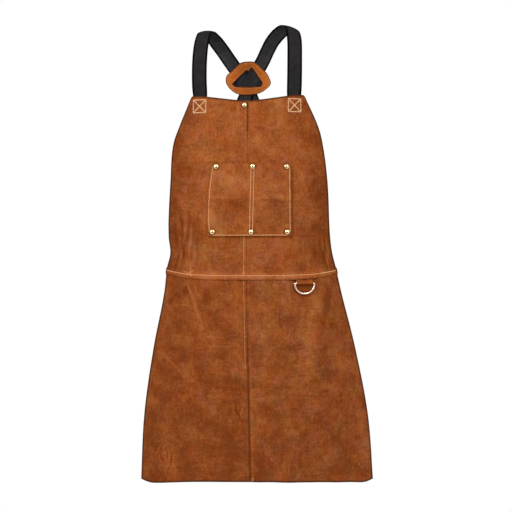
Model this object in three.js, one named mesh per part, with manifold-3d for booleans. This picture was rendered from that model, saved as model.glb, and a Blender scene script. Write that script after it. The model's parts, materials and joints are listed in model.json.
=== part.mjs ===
// Leather bib apron with cross-back straps, in the form that it has when worn.
// Millimetres, +Z up, the front looks towards -Y and left and right are the viewer's.
// The origin lies midway between the straps, where they pass over the shoulders.
import * as THREE from "three";
import { mergeVertices } from "three/addons/utils/BufferGeometryUtils.js";
import Module from "manifold-3d";

const wasm = await Module();
wasm.setup();

// Driving sizes of the leather
const HIDE = 1.6; // thickness of the suede
const GAP = 0.4; // air between two layers
const LAYER = HIDE + GAP; // step from one layer to the next
const SEAM_LAP = 12; // the left panel covers the right one by this much
const WAIST_LAP = 14; // the bib covers the top of the skirt by this much
const RAMP = 6; // run over which a panel takes that step
const DIP_FLAT = 1; // a right panel stays low this far beyond the left one's edge
const DIP_RUN = 5; // and is level again here
const CLEAR = 2; // flat margin between the step and the edge that needs it

// Cross sections of the front, from the hem up. left and right are the side edges, front is where the
// middle stands, wrap is how far the side edges lie behind it, and bend is the power of that curve.
const SECTIONS = [
  { z: -1242, left: -286, right: 340, front: -154, wrap: 70, bend: 2.0 },
  { z: -1065, left: -278, right: 326, front: -149, wrap: 76, bend: 2.2 },
  { z: -893, left: -254.5, right: 293, front: -142, wrap: 84, bend: 2.6 },
  { z: -741, left: -226, right: 256, front: -134, wrap: 92, bend: 3.4 },
  { z: -676, left: -219, right: 242, front: -131, wrap: 95, bend: 4.0 },
  { z: -632, left: -209, right: 231, front: -133, wrap: 84, bend: 3.7 },
  { z: -588, left: -213, right: 225, front: -136, wrap: 75, bend: 3.4 },
  { z: -437, left: -207, right: 217, front: -140, wrap: 60, bend: 3.0 },
  { z: -329, left: -198, right: 203, front: -136, wrap: 50, bend: 2.6 },
  { z: -288, left: -183.5, right: 192.5, front: -132, wrap: 42, bend: 2.4 },
  { z: -205, left: -150, right: 156, front: -121, wrap: 28, bend: 2.2 },
];
const COLUMNS = ["left", "right", "front", "wrap", "bend"];

// Soft folds of the skirt. Each runs from the waist end to the hem end of a line.
const FOLDS = [
  { topX: -165, topZ: -715, lowX: -95, lowZ: -900, width: 26, rise: 5 },
  { topX: 215, topZ: -745, lowX: 165, lowZ: -960, width: 34, rise: 6 },
  { topX: -215, topZ: -900, lowX: -235, lowZ: -1240, width: 34, rise: 7 },
  { topX: 105, topZ: -930, lowX: 120, lowZ: -1240, width: 44, rise: 5 },
  { topX: 262, topZ: -930, lowX: 285, lowZ: -1240, width: 32, rise: -6 },
  { topX: -110, topZ: -1000, lowX: -125, lowZ: -1240, width: 40, rise: -5 },
];

// Edges and seams of the front
const TOP_MIDDLE_Z = -218; // the top edge dips here
const TOP_RISE = { left: 15, right: 18, power: 1.3 }; // and is this much higher at the straps
const STRAP_X = 127; // the straps leave the bib this far from the middle
const TOP_CORNER = 9; // the bib's corners are rounded over this height
const WAIST_Z = -682; // top edge of the skirt, under the bib
const WAIST_RISE = 14; // the waist seam is higher at the sides
const HEM_MIDDLE_Z = -1229;
const HEM_DROP = 13; // the hem hangs lower at the sides
const HEM_CORNER = { run: 38, rise: 11 }; // the hem curves up to the side edges
const SEAM = { topX: 1, waistX: -3, hemX: 8 }; // edge of the left panels, on the middle seam

// Pocket on the bib, top to bottom, and the stitched line that parts it in two
const POCKET = [
  { z: -387, left: -92.5, right: 117, divider: 15 },
  { z: -484, left: -105, right: 118, divider: 12.5 },
  { z: -580, left: -103, right: 119, divider: 10 },
];
const POCKET_STITCH = 5; // sewn margin along the edges
const POCKET_FLAT = 20; // flat leather beside the side edges, where the rivets sit
const DIVIDER_FLAT = 9; // and on each side of the divider
const POCKET_BULGE = 9; // how far each half stands open at the mouth

// Rivets
const RIVET = { cap: 6.3, dome: 2.6, rim: 1.1, post: 2.0, back: 4.6, backRim: 1.0, sides: 12 };
const RIVET_INSET = 12; // from the pocket's sides
const RIVET_BELOW_TOP = 7.5;
const RIVET_ABOVE_BOTTOM = 12;
const BIB_RIVET = { x: -7, z: -230 };

// Ring and the tab that holds it
const RING = { x: 152, z: -704.5, half: 27.8, drop: 28, corner: 3, wire: 4.6, sides: 10, rest: -3.2 };
const TAB = { width: 48, thick: 1.2, tuck: 8, play: 0.4, bow: 2.4 };

// Webbing of the straps
const WEB = { width: 40, thick: 2.0, steps: 4 };
const SEWN_BOW = 0.9; // flat webbing stands this much clear inside the curved leather
const SEWN_Z = -258; // lower end of the straps behind the bib
const WAIST_SEWN = { above: 25, start: 6, step: 12, count: 4 }; // rear ends, from the bib's side edge inwards

// Route of each strap over the shoulder: where its middle runs and which way its outer face looks.
const SHOULDER = {
  left: [
    { x: -128, y: -95, z: -170, nx: 0, ny: -1, nz: 0.08 },
    { x: -128, y: -84, z: -110, nx: 0, ny: -1, nz: 0.25 },
    { x: -124, y: -61, z: -56, nx: -0.1, ny: -0.85, nz: 0.5 },
    { x: -117, y: -30, z: -21, nx: -0.1, ny: -0.45, nz: 0.85 },
    { x: -109, y: 8, z: -13, nx: -0.04, ny: 0.1, nz: 0.93 },
    { x: -97, y: 46, z: -22, nx: -0.08, ny: 0.55, nz: 0.75 },
    { x: -83, y: 75, z: -38, nx: -0.15, ny: 0.85, nz: 0.45 },
  ],
  right: [
    { x: 127, y: -95, z: -170, nx: 0, ny: -1, nz: 0.08 },
    { x: 128, y: -84, z: -110, nx: 0, ny: -1, nz: 0.25 },
    { x: 128, y: -59, z: -46, nx: 0.1, ny: -0.85, nz: 0.5 },
    { x: 123, y: -28, z: -10, nx: 0.3, ny: -0.45, nz: 0.85 },
    { x: 110, y: 8, z: 0, nx: 0.3, ny: 0.1, nz: 0.93 },
    { x: 90, y: 46, z: -10, nx: 0.32, ny: 0.55, nz: 0.75 },
    { x: 70, y: 76, z: -30, nx: 0.15, ny: 0.85, nz: 0.45 },
  ],
};

// Route from the crossing to the waist: reach is the share of the way out to the bib's side edge.
const LOWER_BACK = [
  { reach: 0.25, y: 142, z: -290, nx: 0.1, ny: 1 },
  { reach: 0.43, y: 138, z: -390, nx: 0.25, ny: 0.97 },
  { reach: 0.63, y: 118, z: -490, nx: 0.45, ny: 0.9 },
  { reach: 0.81, y: 80, z: -575, nx: 0.7, ny: 0.7 },
  { reach: 0.95, y: 34, z: -630, nx: 0.92, ny: 0.4 },
  { reach: 1.0, y: -8, z: -654, nx: 1, ny: 0 },
];

// Patch on the upper back. across and up lie in its own plane, which leans forward at the top.
const PATCH = { x: 1.5, y: 112, z: -127, lean: 14, thick: 2.0, gap: 0.3 };
const PATCH_OUTLINE = [
  { across: -22, up: 41.5 },
  { across: 0, up: 46 },
  { across: 20, up: 43.5 },
  { across: 36, up: 29.5 },
  { across: 52, up: 14 },
  { across: 59, up: 3 },
  { across: 64.5, up: -16 },
  { across: 52, up: -31.5 },
  { across: 29, up: -44.5 },
  { across: -28, up: -46.5 },
  { across: -51, up: -32 },
  { across: -63, up: -13 },
  { across: -61.5, up: 4.5 },
  { across: -52, up: 14 },
  { across: -37, up: 28.5 },
];
const PATCH_WINDOW = [
  { across: 9.5, up: 30 },
  { across: 1, up: 17.5 },
  { across: -5, up: 21 },
  { across: -45.5, up: -17.5 },
  { across: -35, up: -25.5 },
  { across: 35, up: -24.5 },
  { across: 40.5, up: -14 },
];
const WINDOW_ROUND = 2;
const OUTLINE_POINTS = 40;

// Where the straps' middles run through the patch
const CROSSING = {
  left: [
    { across: -69, up: 72 },
    { across: -54, up: 50 },
    { across: -40, up: 30 },
    { across: -17, up: -2 },
    { across: -6, up: -22 },
    { across: 4, up: -46 },
    { across: 20, up: -85 },
  ],
  right: [
    { across: 53, up: 72 },
    { across: 43, up: 50 },
    { across: 32, up: 30 },
    { across: 14, up: -2 },
    { across: 5, up: -22 },
    { across: -4, up: -46 },
    { across: -20, up: -85 },
  ],
};

const { smoothstep, lerp, clamp, mapLinear, degToRad } = THREE.MathUtils;
const point = (x, y, z) => new THREE.Vector3(x, y, z);
const range = (count) => Array.from({ length: count }, (_, i) => i);

// Form of the apron's front

const sectionCurve = new THREE.CubicInterpolant(
  SECTIONS.map((row) => row.z),
  SECTIONS.flatMap((row) => COLUMNS.map((name) => row[name])),
  COLUMNS.length,
);

function sectionAt(z) {
  const values = sectionCurve.evaluate(z);
  return Object.fromEntries(COLUMNS.map((name, i) => [name, values[i]]));
}

// Share of the way from the middle to the side edge
function reachAt(x, section) {
  return x < 0 ? x / section.left : x / section.right;
}

function foldsAt(x, z) {
  let rise = 0;
  for (const fold of FOLDS) {
    const along = (z - fold.topZ) / (fold.lowZ - fold.topZ);
    const away = (x - lerp(fold.topX, fold.lowX, along)) / fold.width;
    rise += fold.rise * smoothstep(along, 0, 0.6) * Math.exp(-away * away);
  }
  return rise;
}

function frontY(x, z) {
  const section = sectionAt(z);
  const reach = reachAt(x, section);
  return section.front + section.wrap * Math.max(reach, 0) ** section.bend - foldsAt(x, z);
}

// Outward direction of the front surface
function frontNormal(x, z) {
  const step = 1;
  const slopeX = (frontY(x + step, z) - frontY(x - step, z)) / (2 * step);
  const slopeZ = (frontY(x, z + step) - frontY(x, z - step)) / (2 * step);
  return point(slopeX, -1, slopeZ).normalize();
}

// Point that stands lift outside the skirt's outer face
function onFront(x, z, lift) {
  return point(x, frontY(x, z), z).addScaledVector(frontNormal(x, z), lift);
}

// The middle seam leans over towards the hem.
function seamX(z) {
  return z > WAIST_Z
    ? lerp(SEAM.waistX, SEAM.topX, (z - WAIST_Z) / (TOP_MIDDLE_Z - WAIST_Z))
    : lerp(SEAM.waistX, SEAM.hemX, (z - WAIST_Z) / (HEM_MIDDLE_Z - WAIST_Z));
}

// How far the hem curves up, at a distance from the side
function cornerRise(fromSide) {
  return HEM_CORNER.rise * clamp(1 - fromSide / HEM_CORNER.run, 0, 1) ** 2;
}

function fromSideEdge(x, section) {
  return Math.min(x - section.left, section.right - x);
}

// Height at which the bib's side edge passes x, close to the top
function sideEdgeZ(x) {
  const edge = x < 0 ? "left" : "right";
  const top = SECTIONS.at(-1);
  const low = sectionAt(TOP_MIDDLE_Z)[edge];
  return Math.max(mapLinear(x, low, top[edge], TOP_MIDDLE_Z, top.z), TOP_MIDDLE_Z);
}

// The lower of two heights, rounded where they meet
function lowerOf(first, second, round) {
  const share = clamp(0.5 + (second - first) / (2 * round), 0, 1);
  return lerp(second, first, share) - round * share * (1 - share);
}

function topEdgeZ(x) {
  const atStrap = Math.min(Math.abs(x) / STRAP_X, 1);
  const rise = x < 0 ? TOP_RISE.left : TOP_RISE.right;
  return lowerOf(TOP_MIDDLE_Z + rise * atStrap ** TOP_RISE.power, sideEdgeZ(x), TOP_CORNER);
}

function waistZ(x) {
  return WAIST_Z + WAIST_RISE * reachAt(x, sectionAt(WAIST_Z)) ** 4;
}

function hemZ(x) {
  const section = sectionAt(HEM_MIDDLE_Z);
  const drop = HEM_DROP * reachAt(x, section) ** 2;
  return HEM_MIDDLE_Z - drop + cornerRise(fromSideEdge(x, section));
}

// Layers: how far each outer face lies outside the left half of the skirt

// 1 where a right panel dips under the edge of a left one
function seamDip(x, z) {
  return smoothstep(seamX(z) - x, -DIP_RUN, -DIP_FLAT);
}

// 1 where the left half of the bib makes room for that dip above the skirt
function seamClimb(x, z) {
  const flatEnd = SEAM_LAP + CLEAR;
  return 1 - smoothstep(seamX(z) - x, flatEnd, flatEnd + RAMP);
}

// 1 where the bib climbs over the top edge of the skirt
function waistClimb(x, z) {
  return 1 - smoothstep(z - waistZ(x), CLEAR, CLEAR + RAMP);
}

// Room under the bib's edge for the two plies of the ring's tab
function tabRoom(x) {
  const away = Math.abs(x - RING.x);
  const flat = TAB.width / 2 + CLEAR;
  const stack = 2 * (TAB.thick + GAP) + TAB.bow;
  return stack * (1 - smoothstep(away, flat, flat + 3 * RAMP));
}

function bibLeftLift(x, z) {
  return LAYER * waistClimb(x, z) * (1 + seamClimb(x, z));
}

function bibRightLift(x, z) {
  const climb = waistClimb(x, z);
  return climb * (LAYER + tabRoom(x)) - LAYER * (1 - climb) * seamDip(x, z);
}

function skirtLeftLift() {
  return 0;
}

function skirtRightLift(x, z) {
  return -LAYER * seamDip(x, z);
}

// Closed bodies from points

function bodyOf(points, triangles) {
  const volume = triangles.reduce(
    (sum, [a, b, c]) => sum + points[a].dot(points[b].clone().cross(points[c])),
    0,
  );
  const outward = volume < 0 ? triangles.map(([a, b, c]) => [a, c, b]) : triangles;
  return new THREE.BufferGeometry().setFromPoints(points).setIndex(outward.flat());
}

// A wall between two grids of points: place(column, row, face) with face 0 outside and 1 inside
function wall(columns, rows, place) {
  const points = [];
  for (const face of [0, 1]) {
    for (const i of range(columns)) {
      for (const j of range(rows)) {
        points.push(place(i, j, face));
      }
    }
  }
  const id = (i, j, face) => (face * columns + i) * rows + j;
  const triangles = [];
  const quad = (a, b, c, d) => triangles.push([a, b, c], [a, c, d]);
  for (const i of range(columns - 1)) {
    for (const j of range(rows - 1)) {
      quad(id(i, j, 0), id(i + 1, j, 0), id(i + 1, j + 1, 0), id(i, j + 1, 0));
      quad(id(i, j, 1), id(i, j + 1, 1), id(i + 1, j + 1, 1), id(i + 1, j, 1));
    }
    quad(id(i, 0, 1), id(i + 1, 0, 1), id(i + 1, 0, 0), id(i, 0, 0));
    quad(id(i, rows - 1, 0), id(i + 1, rows - 1, 0), id(i + 1, rows - 1, 1), id(i, rows - 1, 1));
  }
  for (const j of range(rows - 1)) {
    quad(id(0, j, 0), id(0, j + 1, 0), id(0, j + 1, 1), id(0, j, 1));
    const end = columns - 1;
    quad(id(end, j, 1), id(end, j + 1, 1), id(end, j + 1, 0), id(end, j, 0));
  }
  return bodyOf(points, triangles);
}

// A skin over a row of rings with equally many points, capped at both ends or closed on itself
function skin(rings, closed = false) {
  const size = rings[0].length;
  const id = (ring, k) => (ring % rings.length) * size + (k % size);
  const last = closed ? rings.length : rings.length - 1;
  const triangles = [];
  for (const r of range(last)) {
    for (const k of range(size)) {
      triangles.push([id(r, k), id(r + 1, k), id(r + 1, k + 1)]);
      triangles.push([id(r, k), id(r + 1, k + 1), id(r, k + 1)]);
    }
  }
  if (!closed) {
    for (const k of range(size - 2)) {
      triangles.push([id(0, 0), id(0, k + 1), id(0, k + 2)]);
      triangles.push([id(last, 0), id(last, k + 2), id(last, k + 1)]);
    }
  }
  return bodyOf(rings.flat(), triangles);
}

function solidOf(geometry) {
  const bare = geometry.clone();
  bare.deleteAttribute("normal");
  bare.deleteAttribute("uv");
  const merged = mergeVertices(bare, 1e-3);
  return new wasm.Manifold(
    new wasm.Mesh({
      numProp: 3,
      vertProperties: merged.attributes.position.array,
      triVerts: new Uint32Array(merged.index.array),
    }),
  );
}

function geometryOf(solid) {
  const mesh = solid.getMesh();
  return new THREE.BufferGeometry()
    .setAttribute("position", new THREE.BufferAttribute(mesh.vertProperties, 3))
    .setIndex(new THREE.BufferAttribute(mesh.triVerts, 1));
}

// Leather panels

const EDGE_STEPS = [0, 2, 8, 22]; // columns near a side edge, for its round corners
const LEFT_SEAM_STEPS = [SEAM_LAP + CLEAR + RAMP, SEAM_LAP + CLEAR + RAMP / 2, SEAM_LAP + CLEAR, SEAM_LAP];
const LAP_STEPS = [SEAM_LAP, SEAM_LAP / 2, 0];
const RIGHT_SEAM_STEPS = [-DIP_FLAT, -(DIP_FLAT + DIP_RUN) / 2, -DIP_RUN];
const OPEN_COLUMNS = 7; // columns between the seam and the left side edge
const TAB_COLUMNS = [-110, -72, -42, -24, 0, 24, 42]; // right columns, from the ring along the waist
const OPEN_ROWS = 12; // rows between the waist and the free edge
const WAIST_ROWS = [-WAIST_LAP, -WAIST_LAP / 2, 0]; // heights above the skirt's top edge
const BIB_WAIST_ROWS = [...WAIST_ROWS, CLEAR, CLEAR + RAMP / 2, CLEAR + RAMP];

function leftColumns(z) {
  const seam = seamX(z);
  const section = sectionAt(z);
  const near = EDGE_STEPS.map((step) => section.left + step);
  const from = near.at(-1);
  const to = seam - LEFT_SEAM_STEPS[0];
  const open = range(OPEN_COLUMNS).map((i) => lerp(from, to, (i + 1) / (OPEN_COLUMNS + 1)));
  const steps = [...LEFT_SEAM_STEPS.slice(0, -1), ...LAP_STEPS];
  return [...near, ...open, ...steps.map((step) => seam - step)];
}

function rightColumns(z) {
  const seam = seamX(z);
  const section = sectionAt(z);
  const near = EDGE_STEPS.map((step) => section.right - step).reverse();
  const from = seam - RIGHT_SEAM_STEPS.at(-1);
  const waistFrom = SEAM.waistX - RIGHT_SEAM_STEPS.at(-1);
  const waistTo = sectionAt(WAIST_Z).right - EDGE_STEPS.at(-1);
  const open = TAB_COLUMNS.map((away) => {
    const share = (RING.x + away - waistFrom) / (waistTo - waistFrom);
    return lerp(from, near[0], share);
  });
  return [...[...LAP_STEPS, ...RIGHT_SEAM_STEPS].map((step) => seam - step), ...open, ...near];
}

// Row heights as functions of x. The last open rows crowd towards the free edge.
function bibRows() {
  const low = BIB_WAIST_ROWS.map((above) => (x) => waistZ(x) + above);
  const open = range(OPEN_ROWS).map((j) => {
    const share = 1 - (1 - (j + 1) / OPEN_ROWS) ** 1.3;
    return (x) => lerp(waistZ(x) + CLEAR + RAMP, topEdgeZ(x), share);
  });
  return [...low, ...open];
}

function skirtRows() {
  const top = [...WAIST_ROWS].reverse().map((above) => (x) => waistZ(x) + above);
  const open = range(OPEN_ROWS).map((j) => {
    const share = 1 - (1 - (j + 1) / OPEN_ROWS) ** 1.2;
    return (x) => lerp(waistZ(x) - WAIST_LAP, hemZ(x), share);
  });
  return [...top, ...open];
}

function panel(columnsAt, rows, lift) {
  const grid = rows.map((heightAt) => columnsAt(heightAt(0)).map((x) => ({ x, z: heightAt(x) })));
  return wall(grid[0].length, rows.length, (i, j, face) => {
    const { x, z } = grid[j][i];
    return onFront(x, z, lift(x, z) - face * HIDE);
  });
}

// Pocket

const pocketCurve = new THREE.QuadraticBezierCurve3();

// A pocket column's value at a height: a parabola through the three rows
function pocketAt(name, z) {
  const [top, middle, bottom] = POCKET;
  const share = (top.z - z) / (top.z - bottom.z);
  const pull = 2 * middle[name] - (top[name] + bottom[name]) / 2;
  pocketCurve.v0.set(top[name], 0, 0);
  pocketCurve.v1.set(pull, 0, 0);
  pocketCurve.v2.set(bottom[name], 0, 0);
  return pocketCurve.getPoint(share).x;
}

// How far the leather stands off inside one half of the pocket
function pocketBulge(x, z) {
  const divider = pocketAt("divider", z);
  const from = x < divider ? pocketAt("left", z) + POCKET_FLAT : divider + DIVIDER_FLAT;
  const to = x < divider ? divider - DIVIDER_FLAT : pocketAt("right", z) - POCKET_FLAT;
  const across = clamp((x - from) / (to - from), 0, 1);
  const bottom = POCKET.at(-1).z + POCKET_STITCH;
  const up = clamp((z - bottom) / (POCKET[0].z - bottom), 0, 1);
  return POCKET_BULGE * Math.sin(Math.PI * across) * up ** 0.7;
}

// Inner face of the pocket, as a lift from the bib's outer face
function pocketLift(x, z) {
  return GAP + pocketBulge(x, z);
}

function pocketGeometry() {
  const halfColumns = 7;
  const rows = 8;
  const bottom = POCKET.at(-1).z;
  const spread = (from, to, count) => range(count + 1).map((i) => lerp(from, to, i / count));
  const heights = [bottom, ...spread(bottom + POCKET_STITCH, POCKET[0].z, rows)];
  const grid = heights.map((z) => {
    const left = pocketAt("left", z);
    const right = pocketAt("right", z);
    const divider = pocketAt("divider", z);
    const leftHalf = spread(left + POCKET_FLAT, divider - DIVIDER_FLAT, halfColumns);
    const rightHalf = spread(divider + DIVIDER_FLAT, right - POCKET_FLAT, halfColumns);
    return [left, ...leftHalf, ...rightHalf, right].map((x) => ({ x, z }));
  });
  return wall(grid[0].length, heights.length, (i, j, face) => {
    const { x, z } = grid[j][i];
    return onFront(x, z, pocketLift(x, z) + (1 - face) * HIDE);
  });
}

// Rivets: a domed cap outside, a flat back inside and the post between them

function rivetGeometry(grip) {
  const { cap, dome, rim, post, back, backRim, sides } = RIVET;
  const out = GAP;
  const under = -grip - GAP;
  const domeRadius = (cap * cap + dome * dome) / (2 * dome);
  const domeAngle = Math.asin(cap / domeRadius);
  const domeArc = range(5).map((i) => {
    const angle = domeAngle * (1 - i / 4);
    const high = out + rim + dome - domeRadius * (1 - Math.cos(angle));
    return new THREE.Vector2(domeRadius * Math.sin(angle), high);
  });
  const profile = [
    new THREE.Vector2(0, under - backRim),
    new THREE.Vector2(back, under - backRim),
    new THREE.Vector2(back, under),
    new THREE.Vector2(post, under),
    new THREE.Vector2(post, out),
    new THREE.Vector2(cap, out),
    ...domeArc.slice(0, -1),
    new THREE.Vector2(0, domeArc.at(-1).y),
  ];
  return new THREE.LatheGeometry(profile, sides);
}

// Turns a piece made along +Y so that it stands on the front, looking outwards
function standOnFront(object, x, z, lift) {
  object.position.copy(onFront(x, z, lift));
  object.quaternion.setFromUnitVectors(point(0, 1, 0), frontNormal(x, z));
}

function rivetPlaces() {
  const [top, , bottom] = POCKET;
  const places = [];
  for (const [level, z] of [
    ["top", top.z - RIVET_BELOW_TOP],
    ["bottom", bottom.z + RIVET_ABOVE_BOTTOM],
  ]) {
    const across = {
      left: pocketAt("left", z) + RIVET_INSET,
      middle: pocketAt("divider", z),
      right: pocketAt("right", z) - RIVET_INSET,
    };
    for (const [side, x] of Object.entries(across)) {
      const face = pocketLift(x, z) + HIDE;
      places.push({ name: `pocket_rivet_${level}_${side}`, x, z, face, grip: face + HIDE });
    }
  }
  places.push({ name: "bib_rivet", ...BIB_RIVET, face: 0, grip: LAYER + HIDE });
  return places;
}

// Holes for the rivets' posts
function pierced(geometry, places) {
  let solid = solidOf(geometry);
  for (const { x, z, face, grip } of places) {
    const radius = RIVET.post + GAP;
    const drill = new THREE.Mesh(new THREE.CylinderGeometry(radius, radius, 4 * grip, 12));
    standOnFront(drill, x, z, face - grip / 2);
    drill.updateMatrix();
    solid = solid.subtract(solidOf(drill.geometry.applyMatrix4(drill.matrix)));
  }
  return geometryOf(solid);
}

// Ring and tab, made flat: X along the ring's bar, Y out of the apron, Z up

const RING_STAND = GAP + TAB.thick + TAB.play + RING.wire / 2; // the bar's middle above the skirt

function ringGeometry() {
  const { half, drop, corner, wire, sides } = RING;
  const arc = (count, place) => range(count).map((i) => place(i / (count - 1)));
  const line = [
    ...arc(6, (s) => {
      const angle = degToRad(90 - 90 * s);
      return [half - corner + corner * Math.cos(angle), corner * Math.sin(angle) - corner];
    }),
    ...arc(25, (s) => {
      const angle = Math.PI * s;
      return [half * Math.cos(angle), -corner - (drop - corner) * Math.sin(angle)];
    }).slice(1, -1),
    ...arc(6, (s) => {
      const angle = degToRad(180 - 90 * s);
      return [corner - half + corner * Math.cos(angle), corner * Math.sin(angle) - corner];
    }),
  ];
  const rings = line.map(([x, z], i) => {
    const [nextX, nextZ] = line[(i + 1) % line.length];
    const [lastX, lastZ] = line[(i + line.length - 1) % line.length];
    const along = point(nextX - lastX, 0, nextZ - lastZ).normalize();
    const side = point(-along.z, 0, along.x);
    return range(sides).map((k) => {
      const angle = (2 * Math.PI * k) / sides;
      return point(x, 0, z)
        .addScaledVector(side, (wire / 2) * Math.cos(angle))
        .add(point(0, (wire / 2) * Math.sin(angle), 0));
    });
  });
  return skin(rings, true);
}

// The tab's middle line in the plane across the bar: down behind it, round under it and up in front
function tabLine() {
  const bend = RING.wire / 2 + TAB.play + TAB.thick / 2;
  const behind = -bend;
  const leave = 40; // degrees above the bar's level where the front ply leaves the round
  const top = waistZ(RING.x) - WAIST_LAP - RING.z + TAB.tuck;
  const round = range(12).map((i) => {
    const angle = degToRad(180 + ((180 + leave) * i) / 11);
    return [bend * Math.cos(angle), bend * Math.sin(angle)];
  });
  const [outY, outZ] = round.at(-1);
  const inFront = behind + TAB.thick + GAP;
  const slope = Math.cos(degToRad(leave)) / Math.sin(degToRad(leave));
  const meet = [inFront, outZ + (outY - inFront) * slope];
  return [[behind, top], ...round, meet, [inFront, top]];
}

function tabGeometry() {
  const line = tabLine().map(([y, z]) => new THREE.Vector2(y, z));
  const side = (sign) =>
    line.map((at, i) => {
      const before = i > 0 ? at.clone().sub(line[i - 1]).normalize() : null;
      const after = i < line.length - 1 ? line[i + 1].clone().sub(at).normalize() : null;
      const along = (before ?? after).clone().add(after ?? before).normalize();
      const square = new THREE.Vector2(-along.y, along.x);
      const stretch = 1 / Math.max(along.dot(after ?? before), 0.7);
      return at.clone().addScaledVector(square, (sign * TAB.thick * stretch) / 2);
    });
  const outline = new THREE.Shape([...side(1), ...side(-1).reverse()]);
  const made = new THREE.ExtrudeGeometry(outline, { depth: TAB.width, bevelEnabled: false });
  const toFrame = new THREE.Matrix4().makeBasis(point(0, 1, 0), point(0, 0, 1), point(1, 0, 0));
  return made.translate(0, 0, -TAB.width / 2).applyMatrix4(toFrame);
}

// Straps

const PATCH_LEAN = degToRad(PATCH.lean);
const PATCH_FACE = point(0, Math.cos(PATCH_LEAN), Math.sin(PATCH_LEAN));
const PATCH_UP = point(0, -Math.sin(PATCH_LEAN), Math.cos(PATCH_LEAN));
const STRAP_PITCH = WEB.thick + PATCH.gap;
const STRAP_FLOOR = { right: PATCH.gap, left: PATCH.gap + STRAP_PITCH }; // inner faces, above the inner patch

function onPatch(across, up, out) {
  return point(PATCH.x + across, PATCH.y, PATCH.z)
    .addScaledVector(PATCH_UP, up)
    .addScaledVector(PATCH_FACE, out);
}

// The strap's ends lie against the inside of the bib.
function insideBib(x, z) {
  return onFront(x, z, -HIDE - GAP - SEWN_BOW - WEB.thick / 2);
}

function strapRoute(side) {
  const outward = side === "left" ? -1 : 1;
  const frontX = outward * STRAP_X;
  const sewnFront = [SEWN_Z, SEWN_Z + 24, topEdgeZ(frontX) - 2].map((z) => ({
    at: insideBib(frontX, z),
    face: frontNormal(frontX, z),
  }));
  const shoulder = SHOULDER[side].map(({ x, y, z, nx, ny, nz }) => ({
    at: point(x, y, z),
    face: point(nx, ny, nz).normalize(),
  }));
  const crossing = CROSSING[side].map(({ across, up }) => ({
    at: onPatch(across, up, STRAP_FLOOR[side] + WEB.thick / 2),
    face: PATCH_FACE,
  }));
  const farEdge = side === "left" ? "right" : "left";
  const sewnZ = WAIST_Z + WAIST_RISE + WAIST_SEWN.above;
  const edgeX = sectionAt(sewnZ)[farEdge];
  const lower = LOWER_BACK.map(({ reach, y, z, nx, ny }) => ({
    at: point(reach * edgeX, y, z),
    face: point(-outward * nx, ny, 0).normalize(),
  }));
  const sewnWaist = range(WAIST_SEWN.count).map((i) => {
    const x = edgeX + outward * (WAIST_SEWN.start + i * WAIST_SEWN.step);
    return { at: insideBib(x, sewnZ), face: frontNormal(x, sewnZ) };
  });
  return [...sewnFront, ...shoulder, ...crossing, ...lower, ...sewnWaist];
}

function strapGeometry(side) {
  const route = strapRoute(side);
  const curve = new THREE.CatmullRomCurve3(
    route.map((row) => row.at),
    false,
    "centripetal",
  );
  const spans = route.length - 1;
  const rings = range(spans * WEB.steps + 1).map((i) => {
    const share = i / (spans * WEB.steps);
    const row = Math.min(Math.floor(i / WEB.steps), spans - 1);
    const face = route[row].face.clone().lerp(route[row + 1].face, i / WEB.steps - row);
    const along = curve.getTangent(share);
    const width = along.clone().cross(face).normalize();
    const out = width.clone().cross(along).normalize();
    const corners = [
      [1, 1],
      [-1, 1],
      [-1, -1],
      [1, -1],
    ];
    return corners.map(([across, deep]) =>
      curve
        .getPoint(share)
        .addScaledVector(width, (across * WEB.width) / 2)
        .addScaledVector(out, (deep * WEB.thick) / 2),
    );
  });
  return skin(rings);
}

// Patch on the back: an inner layer with a window, and a plain outer layer that lies over the straps

const patchOutline = new THREE.CatmullRomCurve3(
  PATCH_OUTLINE.map(({ across, up }) => point(across, up, 0)),
  true,
).getPoints(OUTLINE_POINTS);
patchOutline.pop();

function roundedPath(corners, radius) {
  const path = new THREE.Path();
  corners.forEach(({ across, up }, i) => {
    const at = new THREE.Vector2(across, up);
    const towards = (row) => {
      const other = new THREE.Vector2(row.across, row.up).sub(at);
      return at.clone().addScaledVector(other, Math.min(radius / other.length(), 0.45));
    };
    const start = towards(corners[(i + corners.length - 1) % corners.length]);
    const end = towards(corners[(i + 1) % corners.length]);
    if (i === 0) {
      path.moveTo(start.x, start.y);
    } else {
      path.lineTo(start.x, start.y);
    }
    path.quadraticCurveTo(at.x, at.y, end.x, end.y);
  });
  return path.closePath();
}

function innerPatchGeometry() {
  const shape = new THREE.Shape(patchOutline.map(({ x, y }) => new THREE.Vector2(x, y)));
  shape.holes.push(roundedPath(PATCH_WINDOW, WINDOW_ROUND));
  return new THREE.ExtrudeGeometry(shape, { depth: PATCH.thick, bevelEnabled: false, curveSegments: 4 });
}

// 1 over a strap, falling to 0 beside it
function strapCover(side, across, up) {
  const at = point(across, up, 0);
  const rows = CROSSING[side].map((row) => point(row.across, row.up, 0));
  const distances = range(rows.length - 1).map((i) =>
    new THREE.Line3(rows[i], rows[i + 1]).closestPointToPoint(at, true, point(0, 0, 0)).distanceTo(at),
  );
  const half = WEB.width / 2;
  return 1 - smoothstep(Math.min(...distances), half + 7, half + 20);
}

function outerPatchGeometry() {
  const shares = [0.08, 0.25, 0.42, 0.58, 0.72, 0.86, 1];
  const over = (side, across, up) =>
    strapCover(side, across, up) * (STRAP_FLOOR[side] + WEB.thick + PATCH.gap);
  const layer = (out) => (share) =>
    patchOutline.map(({ x, y }) => {
      const floor = Math.max(over("left", share * x, share * y), over("right", share * x, share * y));
      return point(share * x, share * y, -Math.max(floor, PATCH.gap) - out);
    });
  return skin([...shares.map(layer(PATCH.thick)), ...[...shares].reverse().map(layer(0))]);
}

// Assembly

function finish(name, color, roughness, metalness = 0) {
  return new THREE.MeshStandardMaterial({ name, color, roughness, metalness });
}

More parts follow.
